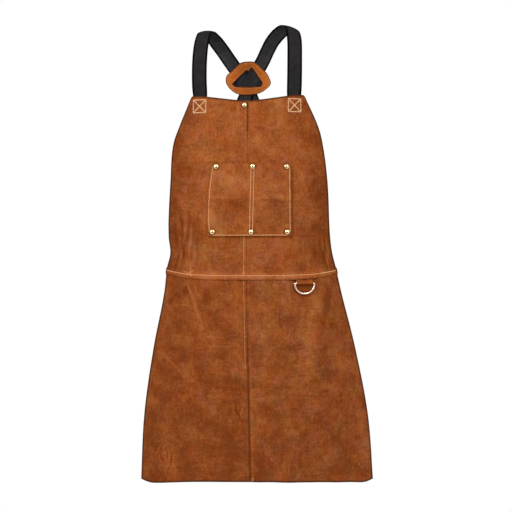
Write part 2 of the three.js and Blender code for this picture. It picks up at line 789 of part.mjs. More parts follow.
const suede = finish("suede", 0x94501f, 0.95);
const tan = finish("tan", 0xb4641f, 0.7);
const webbing = finish("webbing", 0x1d1c1d, 0.9);
const brass = finish("brass", 0xe0c896, 0.25, 1);
const nickel = finish("nickel", 0xe3dcd2, 0.2, 1);

function piece(name, geometry, material) {
  const mesh = new THREE.Mesh(geometry, material);
  mesh.name = name;
  return mesh;
}

function leatherFront() {
  const places = rivetPlaces();
  const middleSeam = places.filter(({ name }) => name === "bib_rivet");
  const onPocket = places.filter((place) => !middleSeam.includes(place));
  const ofLeft = onPocket.filter(({ x, z }) => x < seamX(z));
  const ofRight = onPocket.filter((place) => !ofLeft.includes(place));
  const bibLeft = panel(leftColumns, bibRows(), bibLeftLift);
  const bibRight = panel(rightColumns, bibRows(), bibRightLift);
  const group = new THREE.Group();
  group.add(
    piece("bib_left", pierced(bibLeft, [...middleSeam, ...ofLeft]), suede),
    piece("bib_right", pierced(bibRight, [...middleSeam, ...ofRight]), suede),
    piece("skirt_left", panel(leftColumns, skirtRows(), skirtLeftLift), suede),
    piece("skirt_right", panel(rightColumns, skirtRows(), skirtRightLift), suede),
    piece("bib_pocket", pierced(pocketGeometry(), onPocket), suede),
  );
  for (const { name, x, z, face, grip } of places) {
    const rivet = piece(name, rivetGeometry(grip), brass);
    standOnFront(rivet, x, z, face);
    group.add(rivet);
  }
  return group;
}

function ringOnTab() {
  const group = new THREE.Group();
  const out = frontNormal(RING.x, RING.z);
  const bar = point(0, 0, 1).cross(out).negate().normalize();
  const up = bar.clone().cross(out);
  group.position.copy(onFront(RING.x, RING.z, RING_STAND));
  group.quaternion.setFromRotationMatrix(new THREE.Matrix4().makeBasis(bar, out, up));
  const ring = piece("d_ring", ringGeometry(), nickel);
  ring.rotation.x = degToRad(RING.rest);
  group.add(piece("ring_tab", tabGeometry(), suede), ring);
  return group;
}

// The patch's own Z looks inwards, to the wearer's back.
function backPatch() {
  const group = new THREE.Group();
  group.position.set(PATCH.x, PATCH.y, PATCH.z);
  const inward = PATCH_FACE.clone().negate();
  group.quaternion.setFromRotationMatrix(new THREE.Matrix4().makeBasis(point(1, 0, 0), PATCH_UP, inward));
  group.add(
    piece("cross_patch_inner", innerPatchGeometry(), tan),
    piece("cross_patch_outer", outerPatchGeometry(), tan),
  );
  return group;
}

const apron = new THREE.Group();
apron.name = "leather_bib_apron";
apron.add(
  leatherFront(),
  ringOnTab(),
  piece("strap_left", strapGeometry("left"), webbing),
  piece("strap_right", strapGeometry("right"), webbing),
  backPatch(),
);

export default apron;
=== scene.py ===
"""Suede bib apron: dresses the fixed apron model with leather, webbing, thread and metal.

Everything is in metres, +Z up. The front looks towards -Y, and left and right are the viewer's.
"""

import json
import math
from collections import namedtuple

import bpy
import numpy as np
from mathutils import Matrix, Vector


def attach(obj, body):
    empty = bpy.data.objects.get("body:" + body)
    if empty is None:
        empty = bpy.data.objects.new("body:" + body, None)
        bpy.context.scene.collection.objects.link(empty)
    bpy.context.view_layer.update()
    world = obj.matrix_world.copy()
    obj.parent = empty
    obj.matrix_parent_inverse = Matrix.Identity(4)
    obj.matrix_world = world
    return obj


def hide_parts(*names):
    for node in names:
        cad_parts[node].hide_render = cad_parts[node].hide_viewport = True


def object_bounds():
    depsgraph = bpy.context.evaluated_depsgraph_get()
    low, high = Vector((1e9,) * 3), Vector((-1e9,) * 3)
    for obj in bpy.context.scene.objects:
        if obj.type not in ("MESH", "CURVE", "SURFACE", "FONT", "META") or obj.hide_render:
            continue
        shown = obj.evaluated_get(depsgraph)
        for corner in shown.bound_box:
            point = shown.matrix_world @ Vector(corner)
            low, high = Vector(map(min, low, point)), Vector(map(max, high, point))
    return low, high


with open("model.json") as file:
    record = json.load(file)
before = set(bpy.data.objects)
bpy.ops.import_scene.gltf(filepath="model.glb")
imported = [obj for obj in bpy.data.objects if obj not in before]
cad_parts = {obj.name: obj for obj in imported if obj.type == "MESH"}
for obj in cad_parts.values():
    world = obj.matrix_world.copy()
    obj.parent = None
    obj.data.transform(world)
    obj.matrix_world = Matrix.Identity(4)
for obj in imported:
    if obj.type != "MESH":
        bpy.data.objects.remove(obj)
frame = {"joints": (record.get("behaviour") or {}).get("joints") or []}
MODEL_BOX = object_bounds()
RING_HINGE = frame["joints"][0]

bl_info = {
    "name": "Suede Bib Apron",
    "version": (1, 0, 0),
    "blender": (4, 5, 0),
    "location": "View3D > Sidebar > Apron",
    "description": "Dresses the apron model with suede, webbing, thread and metal",
    "category": "Object",
}

# Form of the front, the same as in the model

# Cross sections from the hem up: side edges, middle, how far the sides lie behind it, power of that curve
Section = namedtuple("Section", "z left right front wrap bend")
SECTIONS = (
    Section(-1.242, -0.286, 0.340, -0.154, 0.070, 2.0),
    Section(-1.065, -0.278, 0.326, -0.149, 0.076, 2.2),
    Section(-0.893, -0.2545, 0.293, -0.142, 0.084, 2.6),
    Section(-0.741, -0.226, 0.256, -0.134, 0.092, 3.4),
    Section(-0.676, -0.219, 0.242, -0.131, 0.095, 4.0),
    Section(-0.632, -0.209, 0.231, -0.133, 0.084, 3.7),
    Section(-0.588, -0.213, 0.225, -0.136, 0.075, 3.4),
    Section(-0.437, -0.207, 0.217, -0.140, 0.060, 3.0),
    Section(-0.329, -0.198, 0.203, -0.136, 0.050, 2.6),
    Section(-0.288, -0.1835, 0.1925, -0.132, 0.042, 2.4),
    Section(-0.205, -0.150, 0.156, -0.121, 0.028, 2.2),
)

# Soft folds of the skirt, each along a line from its waist end to its hem end
FOLD_GROWS = 0.6  # share of that line over which a fold grows to its full height
Fold = namedtuple("Fold", "top_x top_z low_x low_z width rise")
FOLDS = (
    Fold(-0.165, -0.715, -0.095, -0.900, 0.026, 0.005),
    Fold(0.215, -0.745, 0.165, -0.960, 0.034, 0.006),
    Fold(-0.215, -0.900, -0.235, -1.240, 0.034, 0.007),
    Fold(0.105, -0.930, 0.120, -1.240, 0.044, 0.005),
    Fold(0.262, -0.930, 0.285, -1.240, 0.032, -0.006),
    Fold(-0.110, -1.000, -0.125, -1.240, 0.040, -0.005),
)

# Fine creases, which the model leaves out: both ends, half the width of the crest, and its height
Crease = namedtuple("Crease", "x z end_x end_z width rise")
CREASES = (
    Crease(-0.163, -0.520, -0.181, -0.662, 0.0060, 0.0020),
    Crease(-0.150, -0.545, -0.154, -0.655, 0.0050, 0.0017),
    Crease(-0.176, -0.515, -0.172, -0.640, 0.0055, -0.0018),
    Crease(-0.193, -0.545, -0.190, -0.600, 0.0060, -0.0016),
    Crease(-0.136, -0.580, -0.130, -0.668, 0.0050, -0.0010),
    Crease(-0.125, -0.640, -0.030, -0.633, 0.0040, 0.0008),
    Crease(-0.110, -0.656, -0.045, -0.660, 0.0035, 0.0007),
    Crease(-0.100, -0.612, -0.052, -0.608, 0.0035, 0.0006),
    Crease(0.210, -0.570, 0.222, -0.664, 0.0055, 0.0018),
    Crease(0.196, -0.590, 0.205, -0.650, 0.0050, -0.0013),
    Crease(-0.165, -0.700, -0.120, -0.805, 0.0065, 0.0017),
    Crease(-0.146, -0.700, -0.124, -0.745, 0.0040, 0.0012),
    Crease(-0.197, -0.640, -0.202, -0.664, 0.0040, 0.0016),
    Crease(-0.168, -0.671, -0.146, -0.685, 0.0035, 0.0016),
    Crease(-0.151, -0.664, -0.150, -0.688, 0.0030, 0.0016),
    Crease(-0.200, -0.766, -0.146, -0.761, 0.0040, 0.0012),
    Crease(-0.221, -0.846, -0.124, -0.851, 0.0035, 0.0009),
    Crease(-0.126, -0.850, -0.024, -0.842, 0.0035, 0.0009),
    Crease(-0.092, -0.865, -0.040, -0.868, 0.0035, -0.0009),
    Crease(-0.221, -0.905, -0.168, -0.947, 0.0060, 0.0013),
    Crease(-0.029, -1.030, -0.017, -1.072, 0.0045, -0.0030),
    Crease(-0.012, -1.032, -0.019, -1.078, 0.0040, 0.0022),
    Crease(-0.236, -1.140, -0.244, -1.172, 0.0036, 0.0018),
    Crease(-0.222, -1.142, -0.217, -1.185, 0.0038, 0.0020),
    Crease(-0.210, -1.145, -0.208, -1.200, 0.0036, 0.0018),
    Crease(-0.252, -1.175, -0.227, -1.212, 0.0040, 0.0016),
    Crease(-0.197, -1.165, -0.189, -1.205, 0.0040, 0.0014),
    Crease(-0.230, -1.150, -0.227, -1.182, 0.0036, -0.0018),
    Crease(-0.203, -1.175, -0.212, -1.226, 0.0036, -0.0014),
)

# How a crease wavers along its run: turns, share of the crease's own phase, and amount
Waver = namedtuple("Waver", "turns phase amount")
CREASE_WANDER = (Waver(4.3, 1, 0.0022), Waver(11.0, 2, 0.00088))
CREASE_WIDTH, CREASE_HEIGHT = Waver(7.0, 3, 0.3), Waver(9.0, 5, 0.2)
CREASE_PHASE = (700.0, 300.0)  # for each metre across and up
CREASE_ENDS = (-0.15, 0.30)  # shares of its run over which it rises, and falls at the far end
CREST_TURN, CREST_FALL = 2.2, 0.6  # for each half width from the crest

# Lighter and darker spots of the hide, some its own blotches and some painted highlights and painted shade of
# folds: middle, half sizes, how far it leans with height, and lightness
Spot = namedtuple("Spot", "x z wide tall lean tone")
SPOTS = (
    Spot(0.214, -0.764, 0.0110, 0.030, 0.00, -0.52),
    Spot(0.181, -0.782, 0.0180, 0.045, 0.42, 0.32),
    Spot(-0.107, -0.739, 0.0120, 0.021, 0.00, -0.50),
    Spot(-0.168, -0.724, 0.0070, 0.009, 0.00, -0.62),
    Spot(-0.184, -0.737, 0.0060, 0.006, 0.00, -0.50),
    Spot(-0.207, -0.754, 0.0090, 0.008, 0.00, -0.62),
    Spot(-0.176, -0.760, 0.0260, 0.009, 0.00, 0.14),
    Spot(-0.212, -1.170, 0.0260, 0.034, 0.00, 0.16),
    Spot(0.039, -1.170, 0.0140, 0.045, 0.00, -0.26),
    Spot(0.297, -1.120, 0.0120, 0.012, 0.00, -0.26),
    Spot(-0.196, -0.562, 0.0070, 0.020, 0.00, -0.30),
    Spot(-0.172, -0.655, 0.0300, 0.012, 0.00, 0.16),
    Spot(0.087, -0.474, 0.0160, 0.006, 0.00, 0.30),
    Spot(0.094, -0.484, 0.0080, 0.004, 0.00, 0.20),
    Spot(0.243, -0.669, 0.0060, 0.006, 0.00, -0.80),
    Spot(-0.218, -0.681, 0.0050, 0.006, 0.00, -0.60),
    Spot(0.222, -0.640, 0.0060, 0.030, 0.00, 0.22),
    Spot(0.236, -0.630, 0.0040, 0.030, 0.00, -0.25),
    Spot(-0.030, -0.500, 0.0500, 0.030, 0.00, -0.06),
)
RIPPLES = ((0.090, 0.0009), (0.034, 0.00035))  # size and height of the leather's soft waves
RIPPLE_WAVES, RIPPLE_PULL = 14, (0.6, 1.6)  # how many waves, and how their lengths vary
CALM = (0.009, 0.030)  # the waves die out between these distances from a rivet or the ring

# Edges and seams of the front
TOP_MIDDLE_Z = -0.218
TOP_RISE_LEFT, TOP_RISE_RIGHT, TOP_RISE_POWER = 0.015, 0.018, 1.3
STRAP_X = 0.127
TOP_CORNER = 0.009
WAIST_Z, WAIST_RISE, WAIST_POWER, WAIST_LAP = -0.682, 0.014, 4, 0.014
HEM_MIDDLE_Z, HEM_DROP, HEM_POWER = -1.229, 0.013, 2
HEM_CORNER_RUN, HEM_CORNER_RISE = 0.038, 0.011
SEAM_TOP_X, SEAM_WAIST_X, SEAM_HEM_X = 0.001, -0.003, 0.008
SEAM_LAP = 0.012
RAMP, CLEAR = 0.006, 0.002  # run of a climb from layer to layer, and the room before it
DIP_FLAT, DIP_RUN = 0.001, 0.005
TAB_RAMP = 0.018
SLOPE_STEP = 0.001  # half the span over which the front's slope is measured

# Pocket on the bib, top to bottom
PocketRow = namedtuple("PocketRow", "z left right divider")
POCKET = (
    PocketRow(-0.387, -0.0925, 0.117, 0.0150),
    PocketRow(-0.484, -0.1050, 0.118, 0.0125),
    PocketRow(-0.580, -0.1030, 0.119, 0.0100),
)
POCKET_SEW, POCKET_FLAT, DIVIDER_FLAT, POCKET_BULGE = 0.005, 0.020, 0.009, 0.009
POCKET_ROUND, POCKET_OPENING = 1.4, 0.7  # powers of the bulge across and up the pocket
POCKET_RIDGE_Z, POCKET_RIDGE, POCKET_RIDGE_WIDTH = -0.478, 0.0016, 0.016
RIVET_INSET, RIVET_BELOW_TOP, RIVET_ABOVE_BOTTOM = 0.012, 0.0075, 0.012
BIB_RIVET = (-0.007, -0.230)

# Ring and the tab that holds it
RING_X, RING_Z, RING_REST = 0.152, -0.7045, math.radians(-3.2)
RING_HALF, RING_DROP, RING_CORNER = 0.0278, 0.028, 0.003
RING_CORNER_POINTS, RING_BOW_POINTS = 14, 90
TAB_WIDTH, TAB_THICK, TAB_TUCK, TAB_PLAY, TAB_BOW = 0.048, 0.0012, 0.008, 0.0004, 0.0024
TAB_LEAVE, TAB_TURN_POINTS, TAB_SMOOTHING = math.radians(40), 40, 4

# Straps: where the middle of each runs and which way its outer face looks
StrapRow = namedtuple("StrapRow", "x y z nx ny nz")
SHOULDER = {
    "left": (
        StrapRow(-0.128, -0.095, -0.170, 0, -1, 0.08),
        StrapRow(-0.128, -0.084, -0.110, 0, -1, 0.25),
        StrapRow(-0.124, -0.061, -0.056, -0.1, -0.85, 0.5),
        StrapRow(-0.117, -0.030, -0.021, -0.10, -0.45, 0.85),
        StrapRow(-0.109, 0.008, -0.013, -0.04, 0.1, 0.93),
        StrapRow(-0.097, 0.046, -0.022, -0.08, 0.55, 0.75),
        StrapRow(-0.083, 0.075, -0.038, -0.15, 0.85, 0.45),
    ),
    "right": (
        StrapRow(0.127, -0.095, -0.170, 0, -1, 0.08),
        StrapRow(0.128, -0.084, -0.110, 0, -1, 0.25),
        StrapRow(0.128, -0.059, -0.046, 0.1, -0.85, 0.5),
        StrapRow(0.123, -0.028, -0.010, 0.3, -0.45, 0.85),
        StrapRow(0.110, 0.008, 0.000, 0.30, 0.1, 0.93),
        StrapRow(0.090, 0.046, -0.010, 0.32, 0.55, 0.75),
        StrapRow(0.070, 0.076, -0.030, 0.15, 0.85, 0.45),
    ),
}
BackRow = namedtuple("BackRow", "reach y z nx ny")
LOWER_BACK = (
    BackRow(0.25, 0.142, -0.290, 0.1, 1),
    BackRow(0.43, 0.138, -0.390, 0.25, 0.97),
    BackRow(0.63, 0.118, -0.490, 0.45, 0.9),
    BackRow(0.81, 0.080, -0.575, 0.7, 0.7),
    BackRow(0.95, 0.034, -0.630, 0.92, 0.4),
    BackRow(1.00, -0.008, -0.654, 1, 0),
)
SEWN_BOW = 0.0009
SEWN_Z, SEWN_STEP, SEWN_TOP = -0.258, 0.024, 0.002
WAIST_SEWN_ABOVE, WAIST_SEWN_START, WAIST_SEWN_STEP, WAIST_SEWN_COUNT = 0.025, 0.006, 0.012, 4
STRAP_STEPS = 14
SHOULDER_BOW = 0.0035  # the webbing bows this much across its width, on top of the shoulder
SHOULDER_TOP = (0.3, 0.9)  # upward look of the strap's face over which the bow grows

# Patch on the upper back, in its own plane
PATCH_AT = np.array((0.0015, 0.112, -0.127))
PATCH_LEAN = math.radians(14)
PATCH_GAP = 0.0003
PATCH_OUTLINE = (
    (-0.022, 0.0415), (0.000, 0.0460), (0.020, 0.0435), (0.036, 0.0295), (0.052, 0.0140),
    (0.059, 0.0030), (0.0645, -0.0160), (0.052, -0.0315), (0.029, -0.0445), (-0.028, -0.0465),
    (-0.051, -0.0320), (-0.063, -0.0130), (-0.0615, 0.0045), (-0.052, 0.0140), (-0.037, 0.0285),
)
PATCH_WINDOW = (
    (0.0095, 0.0300), (0.001, 0.0175), (-0.005, 0.0210), (-0.0455, -0.0175),
    (-0.035, -0.0255), (0.035, -0.0245), (0.0405, -0.0140),
)
WINDOW_ROUND = 0.002
WINDOW_REACH = 0.045  # the straps show no dark edges this close to the patch's middle
SELVEDGE = 0.006
WINDOW_CORNER_POINTS, WINDOW_RUN_POINTS = 9, 12
WINDOW_MOST = 0.45  # share of a side that the round at one end may take
PATCH_STEPS, PATCH_ANGLES = 60, 288
STRAP_COVER = (0.007, 0.020)  # the outer layer falls to the inner one between these distances from a strap
WINDOW_MIDDLE = np.array((0.0, -0.008))
CROSSING = {
    "left": (
        (-0.069, 0.072), (-0.054, 0.050), (-0.040, 0.030), (-0.017, -0.002),
        (-0.006, -0.022), (0.004, -0.046), (0.020, -0.085),
    ),
    "right": (
        (0.053, 0.072), (0.043, 0.050), (0.032, 0.030), (0.014, -0.002),
        (0.005, -0.022), (-0.004, -0.046), (-0.020, -0.085),
    ),
}

# Rivets: node, place on the front, lift of the leather's face there, and the thickness that it grips
Rivet = namedtuple("Rivet", "node x z face grip")
RIVET_RIM, RIVET_POST, RIVET_BACK, RIVET_BACK_THICK = 0.0011, 0.0020, 0.0046, 0.0010
RIVET_BEVEL, CAP_BEVEL = 0.0003, 0.0004
RIVET_CENTRE, DOME_LAST = 0.0002, 0.02  # radius and angle of the rings that close the back and the dome
DOME_POINTS = 14

# Stitches: stations along one, as shares of its half length, then how it varies, bends and tapers
STITCH_ALONG = np.array((-1.0, -0.85, -0.5, 0.0, 0.5, 0.85, 1.0))
STITCH_SIDES = 7
STITCH_JITTER, STITCH_REACH = 0.06, 0.42  # shares of the pitch
STITCH_SWAY, STITCH_RISE, STITCH_SINK, STITCH_TWIST = 0.35, 0.75, 1.5, 2.2  # in radii of the thread
STITCH_TAPER, BACK_THREAD = 0.8, 0.8
PATCH_THREAD, PATCH_PITCH = 0.7, 0.8
BOX_HALF, BOX_BELOW_TOP, BOX_TALL = 0.0168, 0.0115, 0.0350
SEAM_STITCH, WAIST_STITCH = 0.0065, 0.0118  # from the edge that each row holds down
SIDE_STITCH, BOTTOM_STITCH, DIVIDER_STITCH = 0.0047, 0.0035, 0.0040
ROW_END = 0.003
SEAM_WORN_Z = -0.930  # below this the seam's thread is as dark as the hide
WAIST_TACKS = (
    ((-0.171, -0.6700), (-0.146, -0.6850)),
    ((-0.151, -0.6640), (-0.150, -0.6850)),
    ((-0.158, -0.6830), (-0.143, -0.6690)),
)
HEM_TACKS, HEM_TACK_TALL = (0.0045, 0.0085), 0.0075
STRAP_END_INSETS, STRAP_END_LOW, STRAP_END_TALL = (0.012, 0.040), 0.005, 0.032
PATCH_STITCH = 0.0045
GROOVE, GROOVE_WIDTH = 0.0006, 0.0022
SWELL, SWELL_AT, SWELL_WIDTH = 0.0004, 0.0045, 0.0030

# Lightness of the hide, as steps on the scale from dark to light
# Painted highlight on what stands proud and painted shade in creases, hollows and stitch grooves, partly also
# wear on the raised places
PROUD_TONE, CREASE_TONE = 110.0, 120.0  # for each metre that the leather, or a crease, stands proud
HALO_TONE, HALO_WIDTH = 0.62, 0.0036
# The strip under the waist stitches is lighter: painted highlight where the swollen lap catches the light,
# and partly rubbed
WAIST_STRIP_TONE, WAIST_STRIP_AT, WAIST_STRIP_WIDTH = 0.46, 0.0095, 0.0055
# The skirt's hide is darker than the bib's, and towards the hem it darkens further as painted shade where the
# light falls off
SKIRT_TONE, HEM_SHADE_TONE, SKIRT_RIGHT_TONE, SKIRT_RIGHT_POWER = -0.09, -0.26, 0.07, 0.5
POCKET_TONES = (0.20, 0.03)  # of its left and right halves
POCKET_EDGE = 0.0030
POCKET_SHADE, POCKET_SHADE_WIDTH = 0.45, 0.0045
POCKET_SHADE_START = 0.02
# Painted highlight along the pocket's fold, and painted shade below it, where the pocket faces down
POCKET_FOLD_HIGHLIGHT, POCKET_FOLD_SHADE, POCKET_FOLD_WIDTH, POCKET_FOLD_RIGHT = 0.16, 0.20, 0.003, 0.6
FOLD_SHADE_FROM, FOLD_SHADE_TO, FOLD_SHADE_LOSS = (-0.002, 0.005), (0.01, 0.09), 0.7  # below the fold's line
# Painted shade on the bib's sides, which turn away from the light
SIDE_SHADE_LEFT, SIDE_SHADE_RIGHT, SIDE_FROM = -0.21, -0.26, 0.5
RING_SHADE, RING_SHADE_DROP, RING_SHADE_WIDTH = 0.30, 0.012, 0.022
TAB_TONE, TAB_EDGE = 0.12, 0.0028
SEAM_SHADE, SEAM_SHADE_WIDTH, SEAM_FADE = 0.50, 0.0035, 1.4
# Painted highlight on the lap's ridge and where the ply below it swells
SEAM_RIDGE, SEAM_RIDGE_AT = 0.22, 0.0050
SEAM_PALE, SEAM_PALE_AT, SEAM_PALE_WIDTH, SEAM_PALE_BELOW = 0.20, 0.0080, 0.0028, 0.4
WIRE_SHADE, WIRE_SHADE_WIDTH = 0.55, 0.0050
FLAT_BELOW_RIVET = (0.055, 0.095)  # the lap's edge settles over this much of the bib below its rivet
Loss = namedtuple("Loss", "start end share")
FLAT_LOSSES = (Loss(-0.01, 0.02, 0.35), Loss(0.10, 0.32, 0.65))  # and lifts again this far below the waist
# The dark band along the suede's cut edges is partly their own colour and partly painted shade: a shadow line
# beside each lap, and outer edges turning away from the light
LAP_EDGE, LAP_EDGE_FLAT, LAP_EDGE_WIDTH = 0.0021, 0.0013, 0.006  # least distance shown from a lap's cut edge
OUTER_EDGE = 0.5  # the other cut edges show a dark band twice as wide

# Fineness of the meshes
CLOTH_STEP, POCKET_STEP, STRAP_STEP, PATCH_STEP, TAB_STEP = 0.0026, 0.0024, 0.0022, 0.0020, 0.0012
EDGE_ROUND, EDGE_THIN = 0.55, 0.9  # run of a cut edge's rounding in thicknesses, and how thin it gets
EDGE_STEPS = np.array((0.0, 0.0003, 0.0008, 0.0016, 0.0030))
ROW_STEP = 0.0008
SEARCH_SHARE = 2000  # points in one go of the search for the nearest stitch
RIVET_SIDES, RING_SIDES, RING_POINTS = 48, 24, 160
TINY = 1e-12  # least length that a direction is divided by
SEED = 7

# Patterns of noise in the finishes: stretch, scale, detail and roughness
Pattern = namedtuple("Pattern", "stretch scale detail roughness")
EVEN = (1.0, 1.0, 1.0)
SUEDE_PATTERNS = {
    "cloud": Pattern(EVEN, 14, 3, 0.55),
    "blotch": Pattern(EVEN, 62, 5, 0.65),
    "upright": Pattern((170, 170, 26), 1, 3, 0.6),
    "level": Pattern((24, 24, 190), 1, 3, 0.6),
    "turn": Pattern(EVEN, 9, 2, 0.5),
    "nap": Pattern(EVEN, 420, 3, 0.7),
    "fleck": Pattern(EVEN, 170, 3, 0.6),
    "worn": Pattern(EVEN, 21, 2, 0.5),
    "scuff": Pattern((60, 60, 34), 1, 2, 0.5),
    "red": Pattern(EVEN, 27, 3, 0.6),
    "yellow": Pattern(EVEN, 19, 3, 0.6),
    "rosy": Pattern((1.0, 1.0, 0.6), 33, 3, 0.6),
    "fibre": Pattern(EVEN, 2400, 2, 0.6),
}
SUEDE_BASE = 0.46
SUEDE_TONES = (0.08, 0.50, 0.94)  # of the dark, middle and light hide
SUEDE_SHARES = {
    "cloud": 0.46,
    "blotch": 0.30,
    "patches": 0.08,
    "streaks": 0.55,
    "fleck": 0.85,
    "nap": 0.95,
    "scratches": 0.40,
}
STREAK_TURN, PATCHY = (-0.05, 0.07), (-0.05, 0.05)  # noise over which streaks turn, and patches turn pale
WORN, SCUFF = (0.0, 0.12), (0.0, 0.014)  # noise over which the hide is worn, and the width of its scratches
RED_RANGE, OCHRE_RANGE, ROSE_RANGE = (-0.08, 0.12), (0.0, 0.14), (-0.02, 0.14)
INSIDE_PLAIN = 0.7  # share of the front's shades that the inner face lacks
PATCH_PATTERNS = {"grain": Pattern(EVEN, 900, 3, 0.6), "blotch": Pattern(EVEN, 75, 4, 0.6)}
WEB_PATTERNS = {"fuzz": Pattern(EVEN, 1500, 2, 0.6), "faded": Pattern(EVEN, 60, 3, 0.6)}
THREAD_PATTERNS = {"fuzz": Pattern(EVEN, 2500, 2, 0.6)}
METAL_PATTERNS = {"haze": Pattern(EVEN, 260, 4, 0.6), "scratch": Pattern((4000, 900, 900), 1, 2, 0.6)}
FLOOR_PATTERNS = {"mottle": Pattern(EVEN, 3, 2, 0.5)}

# Distances from an edge at which its dark band starts to fade and is gone; on the suede this band is partly
# the cut edge's own colour and partly painted shade
EDGE_BAND, PATCH_EDGE_BAND, SELVEDGE_BAND = (0.0010, 0.0034), (0.0010, 0.0036), (0.0034, 0.0064)

# Stage
PHOTO_PIXELS = 512
FRONT_PLANE_Y = -0.140
CAMERA_X, CAMERA_Z = 0.02385, -0.632
SENSOR = 0.036
FLOOR_RADIUS, FLOOR_SIDES = 1.5, 96
LIGHT_ASIDE, LIGHT_FRONT, LIGHT_HIGH, LIGHT_SIZE = 1.9, -2.2, 1.15, 0.9
LIGHT_AIM = Vector((0.02, -0.13, -0.40))
WHITE, WALL_WARM = (1.0, 1.0, 1.0), (1.0, 0.93, 0.87)
# What bright metal mirrors: a soft wall, and a dark gap between the lights
WALL_GLOW, GAP_GLOW = 0.95, 0.04
GAP_WIDE, GAP_TALL, GAP_LOW = 0.50, 0.62, 0.56
GAP_AHEAD, GAP_SOFT = (0.3, 0.5), (0.6, 1.3)


def length(name, text, default):
    """A size that a user may change."""
    return bpy.props.FloatProperty(
        name=name, description=text, default=default, min=0.0, unit="LENGTH", precision=4
    )


def colour(name, text, default):
    """A colour that a user may change."""
    return bpy.props.FloatVectorProperty(
        name=name, description=text, default=default, min=0.0, max=1.0, size=3, subtype="COLOR"
    )


def tint(name, text, default):
    """A share of red, green and blue that a user may change."""
    return bpy.props.FloatVectorProperty(name=name, description=text, default=default, min=0.0, size=3)


def amount(name, text, default):
    """A plain number that a user may change."""
    return bpy.props.FloatProperty(name=name, description=text, default=default, min=0.0)


class LeatherSettings(bpy.types.PropertyGroup):
    """Sizes and colours of the leather."""

    thickness: length("Thickness", "Thickness of the suede", 0.0016)
    gap: length("Gap", "Air between two layers", 0.0004)
    patch_thickness: length("Patch", "Thickness of the patch leather", 0.0020)
    # The light and dark ends of this scale take the hide's own mottling, and also the painted highlights and
    # painted shade that the tone attribute carries
    light: colour("Light", "Suede where the nap catches the light", (0.420, 0.140, 0.0420))
    middle: colour("Middle", "Suede over most of the hide", (0.300, 0.0835, 0.0208))
    dark: colour("Dark", "Suede where the nap lies away", (0.185, 0.043, 0.0092))
    red: colour("Red", "Tint of the redder parts of the hide", (1.0, 0.87, 0.72))
    ochre: tint("Ochre", "Tint of the yellower parts of the hide", (0.98, 1.10, 1.04))
    rose: tint("Rose", "Tint of the rosier parts of the hide", (1.0, 1.0, 1.40))
    # The edge colour also serves as painted shade along edges that turn away from the light and beside the
    # laps
    edge: colour("Edge", "Cut edges of the suede", (0.060, 0.020, 0.0070))
    # Painted shade: near-black inner faces of the patch's layers, which shade each other and show dark
    # through the window
    inside_shade: colour("Lining", "Inner faces of the patch", (0.034, 0.030, 0.038))
    patch: colour("Patch colour", "Smoother leather of the patch", (0.56, 0.145, 0.022))


class WebbingSettings(bpy.types.PropertyGroup):
    """Sizes and colours of the webbing."""

    width: length("Width", "Width of the straps", 0.040)
    thickness: length("Thickness", "Thickness of the straps", 0.0020)
    yarn: length("Yarn", "Spacing of the yarns", 0.0017)
    body: colour("Body", "Yarn of the strap's face", (0.0275, 0.0252, 0.0252))
    # Lighter than the face: painted light, standing in for light bounced up onto the strap's inner face
    inner: colour("Inner face", "Yarn of the strap's rubbed inner face", (0.056, 0.054, 0.057))
    selvedge: colour("Selvedge", "Yarn along the strap's edges", (0.0016, 0.0015, 0.0016))


class ThreadSettings(bpy.types.PropertyGroup):
    """Sizes and colours of the sewing thread."""

    radius: length("Radius", "Half the thickness of the thread", 0.0008)
    pitch: length("Pitch", "From one stitch to the next", 0.0036)
    pale: colour("Pale", "Thread of the strap boxes", (0.98, 0.62, 0.34))
    tan: colour("Tan", "Thread of the pocket and the seams", (0.90, 0.45, 0.21))
    brown: colour("Brown", "Thread that matches the hide", (0.36, 0.12, 0.04))


class MetalSettings(bpy.types.PropertyGroup):
    """Sizes and colours of the rivets and the ring."""

    cap: length("Cap", "Half the width of a rivet's cap", 0.0063)
    dome: length("Dome", "Height of the cap's dome", 0.0026)
    wire: length("Wire", "Thickness of the ring's wire", 0.0046)
    brass: colour("Brass", "Plated caps of the rivets", (0.92, 0.76, 0.42))
    # The warm pink tint is partly a painted reflection of the brown leather round the ring
    nickel: colour("Nickel", "Plated wire of the ring", (0.97, 0.77, 0.66))


class StageSettings(bpy.types.PropertyGroup):
    """Camera, light and floor."""

    pixel: length("Pixel", "Width of one picture element at the front of the apron", 0.00265)
    distance: length("Distance", "From the camera to the front of the apron", 3.6)
    floor_drop: length("Floor drop", "From the hem down to the floor", 0.42)
    floor: colour("Floor", "Pale floor", (0.90, 0.90, 0.90))
    key: amount("Key", "Power of the soft light on the left, in watts", 66.0)
    side: amount("Side", "Power of the soft light on the right, in watts", 50.0)
    fill: amount("Fill", "Strength of the light from all round", 0.42)


class ApronSettings(bpy.types.PropertyGroup):
    """All settings of the apron."""

    leather: bpy.props.PointerProperty(type=LeatherSettings, name="Leather", description="Suede and patch")
    webbing: bpy.props.PointerProperty(type=WebbingSettings, name="Webbing", description="Straps")
    thread: bpy.props.PointerProperty(type=ThreadSettings, name="Thread", description="Stitches")
    metal: bpy.props.PointerProperty(type=MetalSettings, name="Metal", description="Rivets and ring")
    stage: bpy.props.PointerProperty(type=StageSettings, name="Stage", description="Camera, light and floor")


def settings():
    return bpy.context.scene.apron


def layer():
    """Step from one layer of leather to the next."""
    return settings().leather.thickness + settings().leather.gap


# Form of the front, for arrays of x and z


def smoothstep(value, low, high):
    share = np.clip((value - low) / (high - low), 0.0, 1.0)
    return share * share * (3 - 2 * share)


def unit(vectors):
    """Vectors scaled to length 1."""
    return vectors / np.linalg.norm(vectors, axis=-1, keepdims=True)


def bell(away, width):
    """1 at zero, falling smoothly on both sides."""
    return np.exp(-((away / width) ** 2))


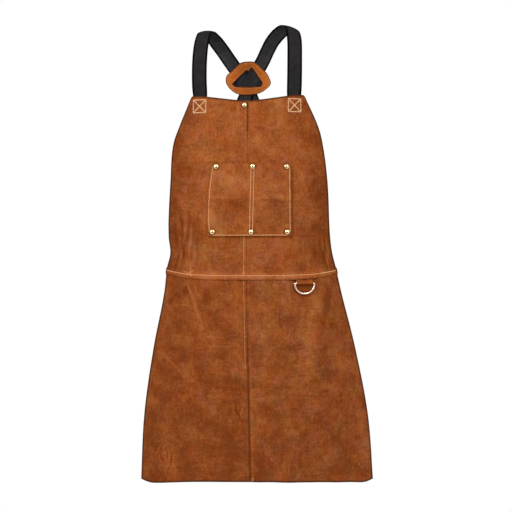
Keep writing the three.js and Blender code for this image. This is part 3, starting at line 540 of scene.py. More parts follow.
def hermite(t, start, end, leave, arrive):
    """A cubic from start to end, with its slopes there."""
    near_start = (2 * t**3 - 3 * t**2 + 1) * start + (t**3 - 2 * t**2 + t) * leave
    return near_start + (3 * t**2 - 2 * t**3) * end + (t**3 - t**2) * arrive


def section(column, z):
    """A column of the table of sections as a smooth curve over z."""
    knots = np.array([row.z for row in SECTIONS])
    values = np.array([getattr(row, column) for row in SECTIONS])
    slopes = np.diff(values) / np.diff(knots)
    tangents = np.concatenate([slopes[:1], (slopes[1:] + slopes[:-1]) / 2, slopes[-1:]])
    at = np.clip(z, knots[0], knots[-1])
    span = np.clip(np.searchsorted(knots, at, side="right") - 1, 0, len(knots) - 2)
    width = knots[span + 1] - knots[span]
    t = (at - knots[span]) / width
    return hermite(t, values[span], values[span + 1], width * tangents[span], width * tangents[span + 1])


def reach(x, z):
    """Share of the way from the middle to the side edge."""
    return x / np.where(x < 0, section("left", z), section("right", z))


def fold_rise(fold, x, z):
    along = (z - fold.top_z) / (fold.low_z - fold.top_z)
    away = x - fold.top_x - (fold.low_x - fold.top_x) * along
    return fold.rise * smoothstep(along, 0, FOLD_GROWS) * bell(away, fold.width)


def ripples(x, z, size, seed):
    """Soft seeded waves, from about -1 to 1."""
    draw = np.random.default_rng(seed)
    total = 0.0
    for _ in range(RIPPLE_WAVES):
        turn, shift = draw.uniform(0, 2 * math.pi, 2)
        pull = draw.uniform(*RIPPLE_PULL) * 2 * math.pi / size
        total = total + np.cos(pull * (x * math.cos(turn) + z * math.sin(turn)) + shift)
    return total / math.sqrt(RIPPLE_WAVES)


def waver(row, along, phase):
    return row.amount * np.sin(row.turns * along + row.phase * phase)


def crease_rise(crease, x, z):
    """A crest with a hollow on each side, which wanders a little and fades at both ends."""
    run_x, run_z = crease.end_x - crease.x, crease.end_z - crease.z
    run = math.hypot(run_x, run_z)
    along = ((x - crease.x) * run_x + (z - crease.z) * run_z) / run**2
    away = ((x - crease.x) * run_z - (z - crease.z) * run_x) / run
    phase = CREASE_PHASE[0] * crease.x + CREASE_PHASE[1] * crease.z
    away = away + sum(waver(row, along, phase) for row in CREASE_WANDER)
    away = away / (crease.width * (1 + waver(CREASE_WIDTH, along, phase)))
    ends = smoothstep(along, *CREASE_ENDS) * smoothstep(1 - along, *CREASE_ENDS)
    height = crease.rise * ends * (1 - CREASE_HEIGHT.amount + waver(CREASE_HEIGHT, along, phase))
    return height * np.cos(CREST_TURN * away) * np.exp(-CREST_FALL * away * away)


def creases(x, z):
    return sum(crease_rise(crease, x, z) for crease in CREASES)


def relief(x, z):
    """How far the leather stands proud of the model's smooth front."""
    height = creases(x, z)
    for seed, (size, rise) in enumerate(RIPPLES, SEED):
        height = height + rise * ripples(x, z, size, seed)
    calm = np.ones_like(x)
    for at_x, at_z in [(rivet.x, rivet.z) for rivet in rivet_places()] + [(RING_X, RING_Z)]:
        calm = calm * smoothstep(np.hypot(x - at_x, z - at_z), *CALM)
    return height * calm


def front_y(x, z, proud=True):
    """Depth of the front's outer face, with or without its fine relief."""
    wrap = section("wrap", z) * np.maximum(reach(x, z), 0) ** section("bend", z)
    folds = sum(fold_rise(fold, x, z) for fold in FOLDS)
    return section("front", z) + wrap - folds - (relief(x, z) if proud else 0)


def front_normal(x, z, proud=True):
    step = SLOPE_STEP
    slope_x = (front_y(x + step, z, proud) - front_y(x - step, z, proud)) / (2 * step)
    slope_z = (front_y(x, z + step, proud) - front_y(x, z - step, proud)) / (2 * step)
    return unit(np.stack([slope_x, -np.ones_like(slope_x), slope_z], axis=-1))


def on_front(x, z, lift, proud=True):
    """Points that stand lift outside the skirt's outer face."""
    x, z, lift = np.broadcast_arrays(np.asarray(x, float), z, lift)
    ground = np.stack([x, front_y(x, z, proud), z], axis=-1)
    return ground + front_normal(x, z, proud) * lift[..., None]


def seam_x(z):
    above = SEAM_WAIST_X + (SEAM_TOP_X - SEAM_WAIST_X) * (z - WAIST_Z) / (TOP_MIDDLE_Z - WAIST_Z)
    below = SEAM_WAIST_X + (SEAM_HEM_X - SEAM_WAIST_X) * (z - WAIST_Z) / (HEM_MIDDLE_Z - WAIST_Z)
    return np.where(z > WAIST_Z, above, below)


def corner_rise(x, z):
    """How far the hem curves up to the side edges."""
    side = np.minimum(x - section("left", z), section("right", z) - x)
    return HEM_CORNER_RISE * np.clip(1 - side / HEM_CORNER_RUN, 0, 1) ** 2


def side_edge_z(x):
    """Height at which the bib's side edge passes x, close to the top."""
    top = SECTIONS[-1]
    left, right = (section(column, np.array(TOP_MIDDLE_Z)) for column in ("left", "right"))
    share = np.where(x < 0, (x - left) / (top.left - left), (x - right) / (top.right - right))
    return TOP_MIDDLE_Z + np.maximum(share, 0) * (top.z - TOP_MIDDLE_Z)


def lower_of(first, second, blend):
    """The lower of two heights, rounded where they meet."""
    share = np.clip(0.5 + (second - first) / (2 * blend), 0, 1)
    return second + (first - second) * share - blend * share * (1 - share)


def top_edge_z(x):
    rise = np.where(x < 0, TOP_RISE_LEFT, TOP_RISE_RIGHT)
    at_strap = np.minimum(np.abs(x) / STRAP_X, 1) ** TOP_RISE_POWER
    return lower_of(TOP_MIDDLE_Z + rise * at_strap, side_edge_z(x), TOP_CORNER)


def waist_z(x):
    return WAIST_Z + WAIST_RISE * reach(x, np.full_like(x, WAIST_Z)) ** WAIST_POWER


def hem_z(x):
    level_z = np.full_like(x, HEM_MIDDLE_Z)
    return HEM_MIDDLE_Z - HEM_DROP * reach(x, level_z) ** HEM_POWER + corner_rise(x, level_z)


# Layers: how far each outer face lies outside the left half of the skirt


def seam_dip(x, z):
    return smoothstep(seam_x(z) - x, -DIP_RUN, -DIP_FLAT)


def waist_climb(x, z):
    return 1 - smoothstep(z - waist_z(x), CLEAR, CLEAR + RAMP)


def tab_room(x):
    flat = TAB_WIDTH / 2 + CLEAR
    stack = 2 * (TAB_THICK + settings().leather.gap) + TAB_BOW
    return stack * (1 - smoothstep(np.abs(x - RING_X), flat, flat + TAB_RAMP))


def bib_left_lift(x, z):
    flat_end = SEAM_LAP + CLEAR
    seam_climb = 1 - smoothstep(seam_x(z) - x, flat_end, flat_end + RAMP)
    return layer() * waist_climb(x, z) * (1 + seam_climb)


def bib_right_lift(x, z):
    climb = waist_climb(x, z)
    return climb * (layer() + tab_room(x)) - layer() * (1 - climb) * seam_dip(x, z)


def bib_lift(x, z):
    return np.where(x <= seam_x(z), bib_left_lift(x, z), bib_right_lift(x, z))


def skirt_left_lift(x, z):
    return np.zeros_like(x)


def skirt_right_lift(x, z):
    return -layer() * seam_dip(x, z)


def pocket_edge(column, z):
    """A pocket column at a height: a parabola through the three rows."""
    top, middle, bottom = POCKET
    share = (top.z - z) / (top.z - bottom.z)
    ends = getattr(top, column) * (1 - share) + getattr(bottom, column) * share
    middle_of_ends = (getattr(top, column) + getattr(bottom, column)) / 2
    return ends + 4 * share * (1 - share) * (getattr(middle, column) - middle_of_ends)


def pocket_lift(x, z):
    """Inner face of the pocket, as a lift from the bib."""
    divider = pocket_edge("divider", z)
    on_left = x < divider
    start = np.where(on_left, pocket_edge("left", z) + POCKET_FLAT, divider + DIVIDER_FLAT)
    end = np.where(on_left, divider - DIVIDER_FLAT, pocket_edge("right", z) - POCKET_FLAT)
    across = np.sin(math.pi * np.clip((x - start) / (end - start), 0, 1))
    sewn = POCKET[-1].z + POCKET_SEW
    up = np.clip((z - sewn) / (POCKET[0].z - sewn), 0, 1)
    open_mouth = POCKET_BULGE * across**POCKET_ROUND * up**POCKET_OPENING
    ridge = POCKET_RIDGE * bell(z - POCKET_RIDGE_Z, POCKET_RIDGE_WIDTH)
    return settings().leather.gap + open_mouth + ridge * across


def pocket_face(x, z):
    return pocket_lift(x, z) + settings().leather.thickness


def rivet_places():
    hide, gap = settings().leather.thickness, settings().leather.gap
    places = [Rivet("bib_rivet", *BIB_RIVET, 0.0, 2 * hide + gap)]
    for height, z in (("top", POCKET[0].z - RIVET_BELOW_TOP), ("bottom", POCKET[-1].z + RIVET_ABOVE_BOTTOM)):
        across = {
            "left": pocket_edge("left", z) + RIVET_INSET,
            "middle": pocket_edge("divider", z),
            "right": pocket_edge("right", z) - RIVET_INSET,
        }
        for side, x in across.items():
            places.append(Rivet(f"pocket_rivet_{height}_{side}", x, z, gap + hide, gap + 2 * hide))
    return places


# Rows of stitches, as x and z on the front

# lift is the face that carries the row and back the face that its thread comes out of behind
StitchRow = namedtuple("StitchRow", "points lift back")
SeamRows = namedtuple("SeamRows", "above below skirt_high skirt_low")


def line(*corners):
    """Points along straight runs between corners."""
    runs = []
    for start, end in zip(corners, corners[1:]):
        start, end = np.array(start), np.array(end)
        count = max(2, round(np.linalg.norm(end - start) / ROW_STEP))
        runs.append(start + (end - start) * np.linspace(0, 1, count)[:, None])
    return np.concatenate(runs)


def upright(x_at, low, high):
    z = np.linspace(low, high, max(2, round((high - low) / ROW_STEP)))
    return np.stack([x_at(z), z], axis=-1)


def level(z_at, start, end):
    x = np.linspace(start, end, max(2, round((end - start) / ROW_STEP)))
    return np.stack([x, z_at(x)], axis=-1)


def crossed_box(left, right, low, high):
    """A sewn rectangle and its diagonals."""
    frame_line = line((left, low), (right, low), (right, high), (left, high), (left, low))
    return [frame_line, line((left, low), (right, high)), line((left, high), (right, low))]


def strap_back(x, z):
    """Inner face of a strap's end behind the bib."""
    leather = settings().leather
    return -leather.thickness - leather.gap - SEWN_BOW - settings().webbing.thickness + 0 * x


def bib_back(x, z):
    return bib_lift(x, z) - settings().leather.thickness


def lap_back(x, z):
    return -layer() - settings().leather.thickness + 0 * x


def strap_box_rows():
    rows = []
    for side in (-1, 1):
        middle = side * STRAP_X
        high = float(top_edge_z(np.array(middle))) - BOX_BELOW_TOP
        for points in crossed_box(middle - BOX_HALF, middle + BOX_HALF, high - BOX_TALL, high):
            rows.append(StitchRow(points, bib_lift, strap_back))
    return rows


def waist_row_z(x):
    return waist_z(x) - WAIST_LAP + WAIST_STITCH


def seam_rows():
    """Rows down the middle lap: on the bib above and below the pocket, and on the skirt."""
    beside = lambda z: seam_x(z) - SEAM_STITCH
    waist = WAIST_Z - WAIST_LAP
    above = upright(beside, POCKET[0].z, BIB_RIVET[1] - settings().metal.cap)
    below = upright(beside, waist + WAIST_STITCH, POCKET[-1].z)
    skirt_high = upright(beside, SEAM_WORN_Z, waist - CLEAR)
    skirt_low = upright(beside, HEM_MIDDLE_Z + ROW_END, SEAM_WORN_Z)
    return SeamRows(
        StitchRow(above, bib_lift, lap_back),
        StitchRow(below, bib_lift, lap_back),
        StitchRow(skirt_high, skirt_left_lift, lap_back),
        StitchRow(skirt_low, skirt_left_lift, lap_back),
    )


def hem_tack_rows():
    """Two short rows that tack the seam's lower end."""
    low = HEM_MIDDLE_Z + ROW_END
    rows = []
    for aside in HEM_TACKS:
        beside = lambda z: seam_x(z) + aside
        rows.append(StitchRow(upright(beside, low, low + HEM_TACK_TALL), skirt_right_lift, lap_back))
    return rows


def waist_tack_rows():
    """Short crossing rows at the left end of the waist seam."""
    return [StitchRow(line(*ends), bib_lift, strap_back) for ends in WAIST_TACKS]


def waist_rows():
    left = float(section("left", np.array(WAIST_Z))) + ROW_END
    right = float(section("right", np.array(WAIST_Z))) - ROW_END
    inner = lambda x, z: np.where(x <= seam_x(z), 0, -layer() * seam_dip(x, z)) - settings().leather.thickness
    return [StitchRow(level(waist_row_z, left, right), bib_lift, inner)]


def strap_end_rows():
    """Upright rows that hold the straps' rear ends, in thread of the hide's colour."""
    rows = []
    low = WAIST_Z + WAIST_RISE + STRAP_END_LOW
    for edge, inwards in (("left", 1), ("right", -1)):
        for inset in STRAP_END_INSETS:
            beside = lambda z: section(edge, z) + inwards * inset
            rows.append(StitchRow(upright(beside, low, low + STRAP_END_TALL), bib_lift, strap_back))
    return rows


def pocket_rows():
    low, high = POCKET[-1].z + BOTTOM_STITCH, POCKET[0].z - RIVET_BELOW_TOP
    low_rivet = POCKET[-1].z + RIVET_ABOVE_BOTTOM
    insets = (
        ("left", SIDE_STITCH),
        ("right", -SIDE_STITCH),
        ("divider", -DIVIDER_STITCH),
        ("divider", DIVIDER_STITCH),
    )
    lines = [upright(lambda z: pocket_edge(column, z) + inset, low_rivet, high) for column, inset in insets]
    start = float(pocket_edge("left", low)) + RIVET_INSET
    end = float(pocket_edge("right", low)) - RIVET_INSET
    lines.insert(2, level(lambda x: np.full_like(x, low), start, end))
    return [StitchRow(points, pocket_face, bib_back) for points in lines]


def distance_to(rows, x, z):
    """Distance from each point to the nearest stitch."""
    sewn = np.concatenate([row.points[::2] for row in rows])
    flat = np.stack([x.ravel(), z.ravel()], axis=-1)
    nearest = [
        np.sqrt(((part[:, None] - sewn[None]) ** 2).sum(-1).min(1))
        for part in np.array_split(flat, max(1, len(flat) // SEARCH_SHARE))
    ]
    return np.concatenate(nearest).reshape(x.shape)


def hide_tone(x, z, height):
    """Lightness of the nap: painted highlight on what stands proud, partly wear, and painted shade in
    hollows; darker round the rivets.
    """
    tone = PROUD_TONE * height + CREASE_TONE * creases(x, z)
    for spot in SPOTS:
        up = z - spot.z
        tone = tone + spot.tone * bell(up, spot.tall) * bell(x - spot.x - spot.lean * up, spot.wide)
    for rivet in rivet_places():
        away = np.hypot(x - rivet.x, z - rivet.z) - settings().metal.cap
        tone = tone - HALO_TONE * bell(away, HALO_WIDTH)
    return tone


def seam_flat(z):
    """1 where the middle lap lies flat and shows least: on the bib below its top, and less down the skirt."""
    lost = sum(loss.share * smoothstep(WAIST_Z - z, loss.start, loss.end) for loss in FLAT_LOSSES)
    return smoothstep(BIB_RIVET[1] - z, *FLAT_BELOW_RIVET) * (1 - lost)


def seam_shade(x, z):
    """Painted shade beside the edge of the middle lap, and painted highlight on its ridge and where the ply
    below it swells.
    """
    away = x - seam_x(z)
    dark = SEAM_SHADE * (1 - SEAM_FADE * seam_flat(z)) * bell(away, SEAM_SHADE_WIDTH)
    pale = SEAM_PALE * bell(away - SEAM_PALE_AT, SEAM_PALE_WIDTH)
    ridge = SEAM_RIDGE * bell(away + SEAM_RIDGE_AT, SEAM_PALE_WIDTH) * (z > WAIST_Z)
    return np.where(away > 0, smoothstep(WAIST_Z - z, 0, SEAM_PALE_BELOW) * pale - dark, ridge)


def pocket_shade(x, z):
    """Shade on the bib along the pocket's right and lower edges."""
    top, bottom = POCKET[0], POCKET[-1]
    right = x - pocket_edge("right", np.clip(z, bottom.z, top.z))
    below = bottom.z - z
    beside = bell(right, POCKET_SHADE_WIDTH) * smoothstep(top.z - z, 0, POCKET_SHADE_START) * (below < 0)
    under = bell(below, POCKET_SHADE_WIDTH) * (right < 0) * (x > pocket_edge("left", bottom.z))
    return POCKET_SHADE * np.maximum(np.where(right > 0, beside, 0), np.where(below > 0, under, 0))


def bib_tone(x, z):
    """The strip under the waist stitches, pale as painted highlight and partly rubbed, and painted shade on
    the sides, which turn away from the light.
    """
    strip = WAIST_STRIP_TONE * bell(z - waist_z(x) + WAIST_LAP - WAIST_STRIP_AT, WAIST_STRIP_WIDTH)
    aside = smoothstep(reach(x, z), SIDE_FROM, 1.0) * np.where(x < 0, SIDE_SHADE_LEFT, SIDE_SHADE_RIGHT)
    return strip + aside + seam_shade(x, z) - pocket_shade(x, z)


def skirt_tone(x, z):
    # Darker towards the hem: painted shade where the light falls off
    low = smoothstep(WAIST_Z - z, 0, WAIST_Z - HEM_MIDDLE_Z)
    half = np.where(x > seam_x(z), SKIRT_RIGHT_TONE, 0) * low**SKIRT_RIGHT_POWER
    return SKIRT_TONE + (HEM_SHADE_TONE - SKIRT_TONE) * low + half - ring_shade(x, z) + seam_shade(x, z)


def ring_shade(x, z):
    """Shade inside the ring and along its wire."""
    across, drop = ring_path().T
    bar, _, up = ring_axes()
    wire = np.array(RING_HINGE["pos_m"]) + across[:, None] * bar + drop[:, None] * up
    from_wire = distance_to([StitchRow(wire[:, (0, 2)], None, None)], x, z)
    from_middle = np.hypot(x - RING_X, z - RING_Z + RING_SHADE_DROP)
    inside = RING_SHADE * bell(from_middle**2, RING_SHADE_WIDTH**2)
    return inside + WIRE_SHADE * bell(from_wire, WIRE_SHADE_WIDTH)


def pocket_tone(x, z):
    """A fold across the pocket: painted highlight along its line and painted shade below."""
    below = POCKET_RIDGE_Z - z
    dark = smoothstep(below, *FOLD_SHADE_FROM) * (1 - FOLD_SHADE_LOSS * smoothstep(below, *FOLD_SHADE_TO))
    pale = bell(below, POCKET_FOLD_WIDTH)
    on_left = x < pocket_edge("divider", z)
    fold = np.where(on_left, 1.0, POCKET_FOLD_RIGHT) * (POCKET_FOLD_HIGHLIGHT * pale - POCKET_FOLD_SHADE * dark)
    return np.where(on_left, *POCKET_TONES) + fold


def pucker(away):
    """Leather pulled down along a row of stitches, and swollen beside it."""
    return SWELL * bell(away - SWELL_AT, SWELL_WIDTH) - GROOVE * bell(away, GROOVE_WIDTH)


# Meshes


def mesh_object(name, points, faces, values=None, material=None):
    mesh = bpy.data.meshes.new(name)
    mesh.from_pydata(points.reshape(-1, 3).tolist(), [], faces)
    for key, data in (values or {}).items():
        attribute = mesh.attributes.new(key, "FLOAT", "POINT")
        attribute.data.foreach_set("value", np.asarray(data, np.float32).ravel())
    mesh.shade_smooth()
    mesh.materials.append(material)
    made = bpy.data.objects.new(name, mesh)
    bpy.context.scene.collection.objects.link(made)
    return made


def spread(size, step):
    """Shares from 0 to 1, a step apart and closer at both cut edges."""
    near = EDGE_STEPS
    count = max(2, round((size - 2 * near[-1]) / step))
    middle = np.linspace(near[-1], size - near[-1], count + 1)
    return np.concatenate([near[:-1], middle, size - near[:-1][::-1]]) / size


def run_lengths(points, axis):
    """Arc length along an axis of a grid, from its start."""
    steps = np.linalg.norm(np.diff(points, axis=axis), axis=-1)
    start = np.zeros_like(np.take(steps, [0], axis=axis))
    return np.concatenate([start, np.cumsum(steps, axis=axis)], axis=axis)


def resample(at, run, points):
    """Points of a line at distances along it."""
    return np.stack([np.interp(at, run, column) for column in points.T], axis=-1)


def edge_distance(middle, closed):
    """Distance from each point of a grid to its cut edge."""
    found = np.full(middle.shape[:2], np.inf)
    for axis in (0,) if closed else (0, 1):
        run = run_lengths(middle, axis)
        whole = np.take(run, [-1], axis=axis)
        found = np.minimum(found, np.minimum(run, whole - run))
    return found


def grid_normals(middle, closed):
    if closed:
        across = np.roll(middle, -1, axis=1) - np.roll(middle, 1, axis=1)
    else:
        across = np.gradient(middle, axis=1)
    normal = np.cross(across, np.gradient(middle, axis=0))
    return normal / np.maximum(np.linalg.norm(normal, axis=-1, keepdims=True), TINY)


def cloth(name, middle, thickness, material, values=None, closed=False):
    """A sheet with rounded cut edges, from the grid of its middle: rows up, columns across."""
    rows, columns = middle.shape[:2]
    edge = edge_distance(middle, closed)
    roundness = 1 - np.minimum(edge / (EDGE_ROUND * thickness), 1)
    half = (thickness / 2 * np.sqrt(1 - EDGE_THIN * roundness**2))[..., None]
    normals = grid_normals(middle, closed)
    points = np.stack([middle + normals * half, middle - normals * half])
    ids = np.arange(rows * columns).reshape(rows, columns)
    if closed:
        ids = np.concatenate([ids, ids[:, :1]], axis=1)
    a, b, c, d = ids[:-1, :-1], ids[:-1, 1:], ids[1:, 1:], ids[1:, :-1]
    behind = rows * columns
    quads = [(a, b, c, d), (a + behind, d + behind, c + behind, b + behind)]
    rims = [(ids[0, 1:], ids[0, :-1]), (ids[-1, :-1], ids[-1, 1:])]
    if not closed:
        rims += [(ids[:-1, 0], ids[1:, 0]), (ids[1:, -1], ids[:-1, -1])]
    quads += [(start, end, end + behind, start + behind) for start, end in rims]
    faces = [face for quad in quads for face in np.stack(quad, axis=-1).reshape(-1, 4).tolist()]
    both = {"edge": edge, **(values or {})}
    data = {key: np.concatenate([np.ravel(value)] * 2) for key, value in both.items()}
    data["inside"] = np.repeat([0.0, 1.0], behind)
    return mesh_object(name, points, faces, data, material)


def tube_faces(rings, sides, closed=False):
    """Quads between rings of points that follow one another, with a cap on each end of an open tube."""
    ids = np.arange(rings * sides).reshape(rings, sides)
    following = np.roll(ids, -1, axis=0)
    quads = np.stack([ids, np.roll(ids, -1, axis=1), np.roll(following, -1, axis=1), following], axis=-1)
    if closed:
        return quads.reshape(-1, 4).tolist()
    return [*quads[:-1].reshape(-1, 4).tolist(), ids[0, ::-1].tolist(), ids[-1].tolist()]


def smooth_line(points, steps, closed=False):
    """A centripetal curve through points, with so many steps from one to the next."""
    points = np.asarray(points, float)
    if closed:
        padded = np.concatenate([points[-1:], points, points[:2]])
    else:
        padded = np.concatenate([2 * points[:1] - points[1:2], points, 2 * points[-1:] - points[-2:-1]])
    gaps = np.sqrt(np.linalg.norm(np.diff(padded, axis=0), axis=1))
    t = np.linspace(0, 1, steps, endpoint=False)[:, None]
    runs = []
    for i in range(len(padded) - 3):
        before, start, end, after = padded[i : i + 4]
        first, middle, last = gaps[i : i + 3]
        leave = (start - before) / first - (end - before) / (first + middle) + (end - start) / middle
        arrive = (end - start) / middle - (after - start) / (middle + last) + (after - end) / last
        runs.append(hermite(t, start, end, middle * leave, middle * arrive))
    return np.concatenate(runs if closed else [*runs, points[-1:]])


def dress(piece, body, nodes=()):
    """Ties a piece to the model."""
    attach(piece, body)
    if nodes:
        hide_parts(*nodes)
    return piece


# Materials


def paired(operation):
    """An operator of Term and its reflected form."""

    def forward(self, other):
        return self.finish.node("ShaderNodeMath", {"operation": operation}, {0: self, 1: other})

    def reflected(self, other):
        return self.finish.node("ShaderNodeMath", {"operation": operation}, {0: other, 1: self})

    return forward, reflected


class Term:
    """A socket of a material that takes part in Python arithmetic on values."""

    def __init__(self, finish, socket):
        self.finish = finish
        self.socket = socket

    __add__, __radd__ = paired("ADD")
    __sub__, __rsub__ = paired("SUBTRACT")
    __mul__, __rmul__ = paired("MULTIPLY")
    __truediv__, __rtruediv__ = paired("DIVIDE")
    __pow__, __rpow__ = paired("POWER")


class Finish:
    """The nodes of a material or of the studio, in the making."""

    def __init__(self, owner, shader, constants):
        owner.use_nodes = True
        self.owner = owner
        self.tree = owner.node_tree
        self.shader = self.tree.nodes[shader]
        for socket, value in constants.items():
            self.paint(socket, value)

    def put(self, socket, value):
        if isinstance(value, Term):
            self.tree.links.new(value.socket, socket)
        elif socket.type == "RGBA" and len(value) == 3:
            socket.default_value = (*value, 1.0)
        else:
            socket.default_value = value

    def paint(self, socket, value):
        self.put(self.shader.inputs[socket], value)

    def node(self, kind, options=None, inputs=None, output=0):
        """A node with its options set first, then its sockets."""
        made = self.tree.nodes.new(kind)
        for key, value in (options or {}).items():
            if key == "stops":
                while len(made.color_ramp.elements) < len(value):
                    made.color_ramp.elements.new(0.5)
                for element, (position, shade) in zip(made.color_ramp.elements, value):
                    element.position = position
                    element.color = (*shade, 1.0)
            else:
                setattr(made, key, value)
        for key, value in (inputs or {}).items():
            self.put(made.inputs[key], value)
        return Term(self, made.outputs[output])

    def noise(self, pattern):
        """A pattern of noise round zero, fixed to the piece."""
        at = self.node("ShaderNodeTexCoord", output="Object")
        stretched = self.node("ShaderNodeVectorMath", {"operation": "MULTIPLY"}, {0: at, 1: pattern.stretch})
        sockets = {
            "Vector": stretched,
            "Scale": pattern.scale,
            "Detail": pattern.detail,
            "Roughness": pattern.roughness,
        }
        return self.node("ShaderNodeTexNoise", None, sockets) - 0.5

    def noises(self, patterns):
        return {key: self.noise(pattern) for key, pattern in patterns.items()}

    def value(self, attribute):
        return self.node("ShaderNodeAttribute", {"attribute_name": attribute}, None, "Fac")

    def sine(self, angle):
        return self.node("ShaderNodeMath", {"operation": "SINE"}, {0: angle})

    def size(self, value):
        return self.node("ShaderNodeMath", {"operation": "ABSOLUTE"}, {0: value})

    def ease(self, value, low, high):
        sockets = {"Value": value, "From Min": low, "From Max": high}
        return self.node("ShaderNodeMapRange", {"interpolation_type": "SMOOTHSTEP"}, sockets)

    def ramp(self, factor, stops):
        return self.node("ShaderNodeValToRGB", {"stops": stops}, {0: factor})

    def mix(self, factor, first, second, blend="MIX"):
        options = {"data_type": "RGBA", "blend_type": blend}
        return self.node("ShaderNodeMix", options, {0: factor, 6: first, 7: second}, 2)

    def bump(self, height, distance, strength=1.0):
        sockets = {"Height": height, "Distance": distance, "Strength": strength}
        self.paint("Normal", self.node("ShaderNodeBump", None, sockets))


def finish_once(name, make):
    """The named material, made when it is first asked for."""
    return bpy.data.materials.get(name) or make(name)


def new_finish(name, constants):
    return Finish(bpy.data.materials.new(name), "Principled BSDF", constants)


def scaled(shade, share):
    """A colour at a share of its brightness."""
    return tuple(share * part for part in shade)


def suede(name):
    """Napped split hide: mottled at several scales, streaked, and dark on its cut edges, partly as painted
    shade.
    """
    leather = settings().leather
    made = new_finish(name, {"Roughness": 1.0, "Specular IOR Level": 0.02})
    noise = made.noises(SUEDE_PATTERNS)
    turn = made.ease(noise["turn"], *STREAK_TURN)
    noise["streaks"] = noise["upright"] + turn * (noise["level"] - noise["upright"])
    noise["patches"] = made.ease(noise["blotch"], *PATCHY) - 0.5
    off_scratch = made.ease(made.size(noise["scuff"]), *SCUFF)
    noise["scratches"] = made.ease(noise["worn"], *WORN) * (1 - off_scratch)
    tone = SUEDE_BASE + sum(share * noise[key] for key, share in SUEDE_SHARES.items())
    # The tone attribute carries wear, and also painted highlights and painted shade of creases, seams,
    # pocket, sides, hem and ring
    tone = tone + made.value("tone") * (1 - INSIDE_PLAIN * made.value("inside"))
    shade = made.ramp(tone, list(zip(SUEDE_TONES, (leather.dark, leather.middle, leather.light))))
    ochre = made.value("ochre")
    tints = (
        (noise["red"], RED_RANGE, leather.red),
        (noise["yellow"] + ochre, OCHRE_RANGE, leather.ochre),
        (noise["rosy"] + ochre, ROSE_RANGE, leather.rose),
    )
    for where, ends, tinge in tints:
        tinted = made.mix(1.0, shade, tinge, "MULTIPLY")
        shade = made.mix(made.ease(where, *ends), shade, tinted)
    # Dark band along the cut edges: partly the edge's own colour, partly painted shade
    bare = 1 - made.ease(made.value("edge"), *EDGE_BAND)
    made.paint("Base Color", made.mix(0.9 * bare, shade, leather.edge))
    made.bump(0.8 * noise["nap"] + 0.4 * noise["blotch"] + 0.3 * noise["fibre"], 0.0011, 0.7)
    return made.owner


def patch_leather(name):
    """Smoother tan leather, with painted shade on the faces that its two layers turn to each other."""
    leather = settings().leather
    made = new_finish(name, {"Specular IOR Level": 0.08})
    noise = made.noises(PATCH_PATTERNS)
    grain, blotch = noise["grain"], noise["blotch"]
    stops = [(0.15, scaled(leather.patch, 0.55)), (0.5, leather.patch), (0.9, scaled(leather.patch, 1.25))]
    shade = made.ramp(0.5 + 0.8 * blotch + 0.5 * grain, stops)
    bare = 1 - made.ease(made.value("edge"), *PATCH_EDGE_BAND)
    shade = made.mix(0.85 * bare, shade, scaled(leather.patch, 0.25))
    # Painted shade on the inner faces
    made.paint("Base Color", made.mix(made.value("inside"), shade, leather.inside_shade))
    made.paint("Roughness", 0.62 + 0.3 * blotch)
    made.bump(grain + 0.4 * blotch, 0.0006, 0.5)
    return made.owner


def webbing(name):
    """Woven black webbing with dark selvedges, and a lighter inner face that is painted light."""
    web = settings().webbing
    made = new_finish(name, {"Specular IOR Level": 0.02})
    noise = made.noises(WEB_PATTERNS)
    turn = 2 * math.pi / web.yarn
    along, across = made.value("along"), made.value("across")
    weft = made.sine(turn * along + 0.5 * math.pi * made.sine(0.5 * turn * across))
    warp = made.sine(turn * across)
    weave = 0.5 + 0.3 * weft + 0.25 * warp * weft
    light = 0.35 + 0.5 * weave + 0.6 * noise["fuzz"] + 1.5 * noise["faded"]
    face = made.mix(light, scaled(web.body, 0.45), web.body)
    # The inner face is painted lighter, standing in for light bounced onto it
    inner = made.mix(light, scaled(web.inner, 0.55), web.inner)
    rim = 1 - made.ease(made.value("edge"), *SELVEDGE_BAND)
    made.paint("Base Color", made.mix(rim, made.mix(made.value("inside"), face, inner), web.selvedge))
    made.paint("Roughness", 0.85 + 0.2 * noise["fuzz"])
    made.bump(weave + 0.3 * noise["fuzz"], 0.0007, 0.8)
    return made.owner


def thread(name, shade):
    made = new_finish(name, {"Roughness": 0.8, "Specular IOR Level": 0.05})
    strand = made.sine(made.value("twist"))
    fuzz = made.noises(THREAD_PATTERNS)["fuzz"]
    made.paint("Base Color", made.mix(0.55 + 0.3 * strand + fuzz, scaled(shade, 0.78), shade))
    made.bump(0.5 * strand + 0.4 * fuzz, 0.0003, 0.8)
    return made.owner


def plated(name, shade, roughness, dull):
    """Bright plating with fine scratches and duller spots."""
    made = new_finish(name, {"Metallic": 1.0})
    noise = made.noises(METAL_PATTERNS)
    made.paint("Base Color", made.mix(0.5 + 1.2 * noise["haze"], scaled(shade, dull), shade))
    made.paint("Roughness", roughness + 0.18 * noise["haze"] + 0.08 * noise["scratch"])
    made.bump(noise["scratch"], 0.0001, 0.25)
    return made.owner


def brass(name):
    return plated(name, settings().metal.brass, roughness=0.16, dull=0.78)


def nickel(name):
    return plated(name, settings().metal.nickel, roughness=0.30, dull=0.92)


def pale_floor(name):
    shade = settings().stage.floor
    made = new_finish(name, {"Roughness": 0.9, "Specular IOR Level": 0.1})
    mottle = made.noises(FLOOR_PATTERNS)["mottle"]
    made.paint("Base Color", made.mix(0.5 + mottle, scaled(shade, 0.985), shade))
    return made.owner


# Pieces

# A panel's side edges over z, lower and upper edge over x, outer face, tone and rows of stitches
Panel = namedtuple("Panel", "node left right low high lift tone rows")

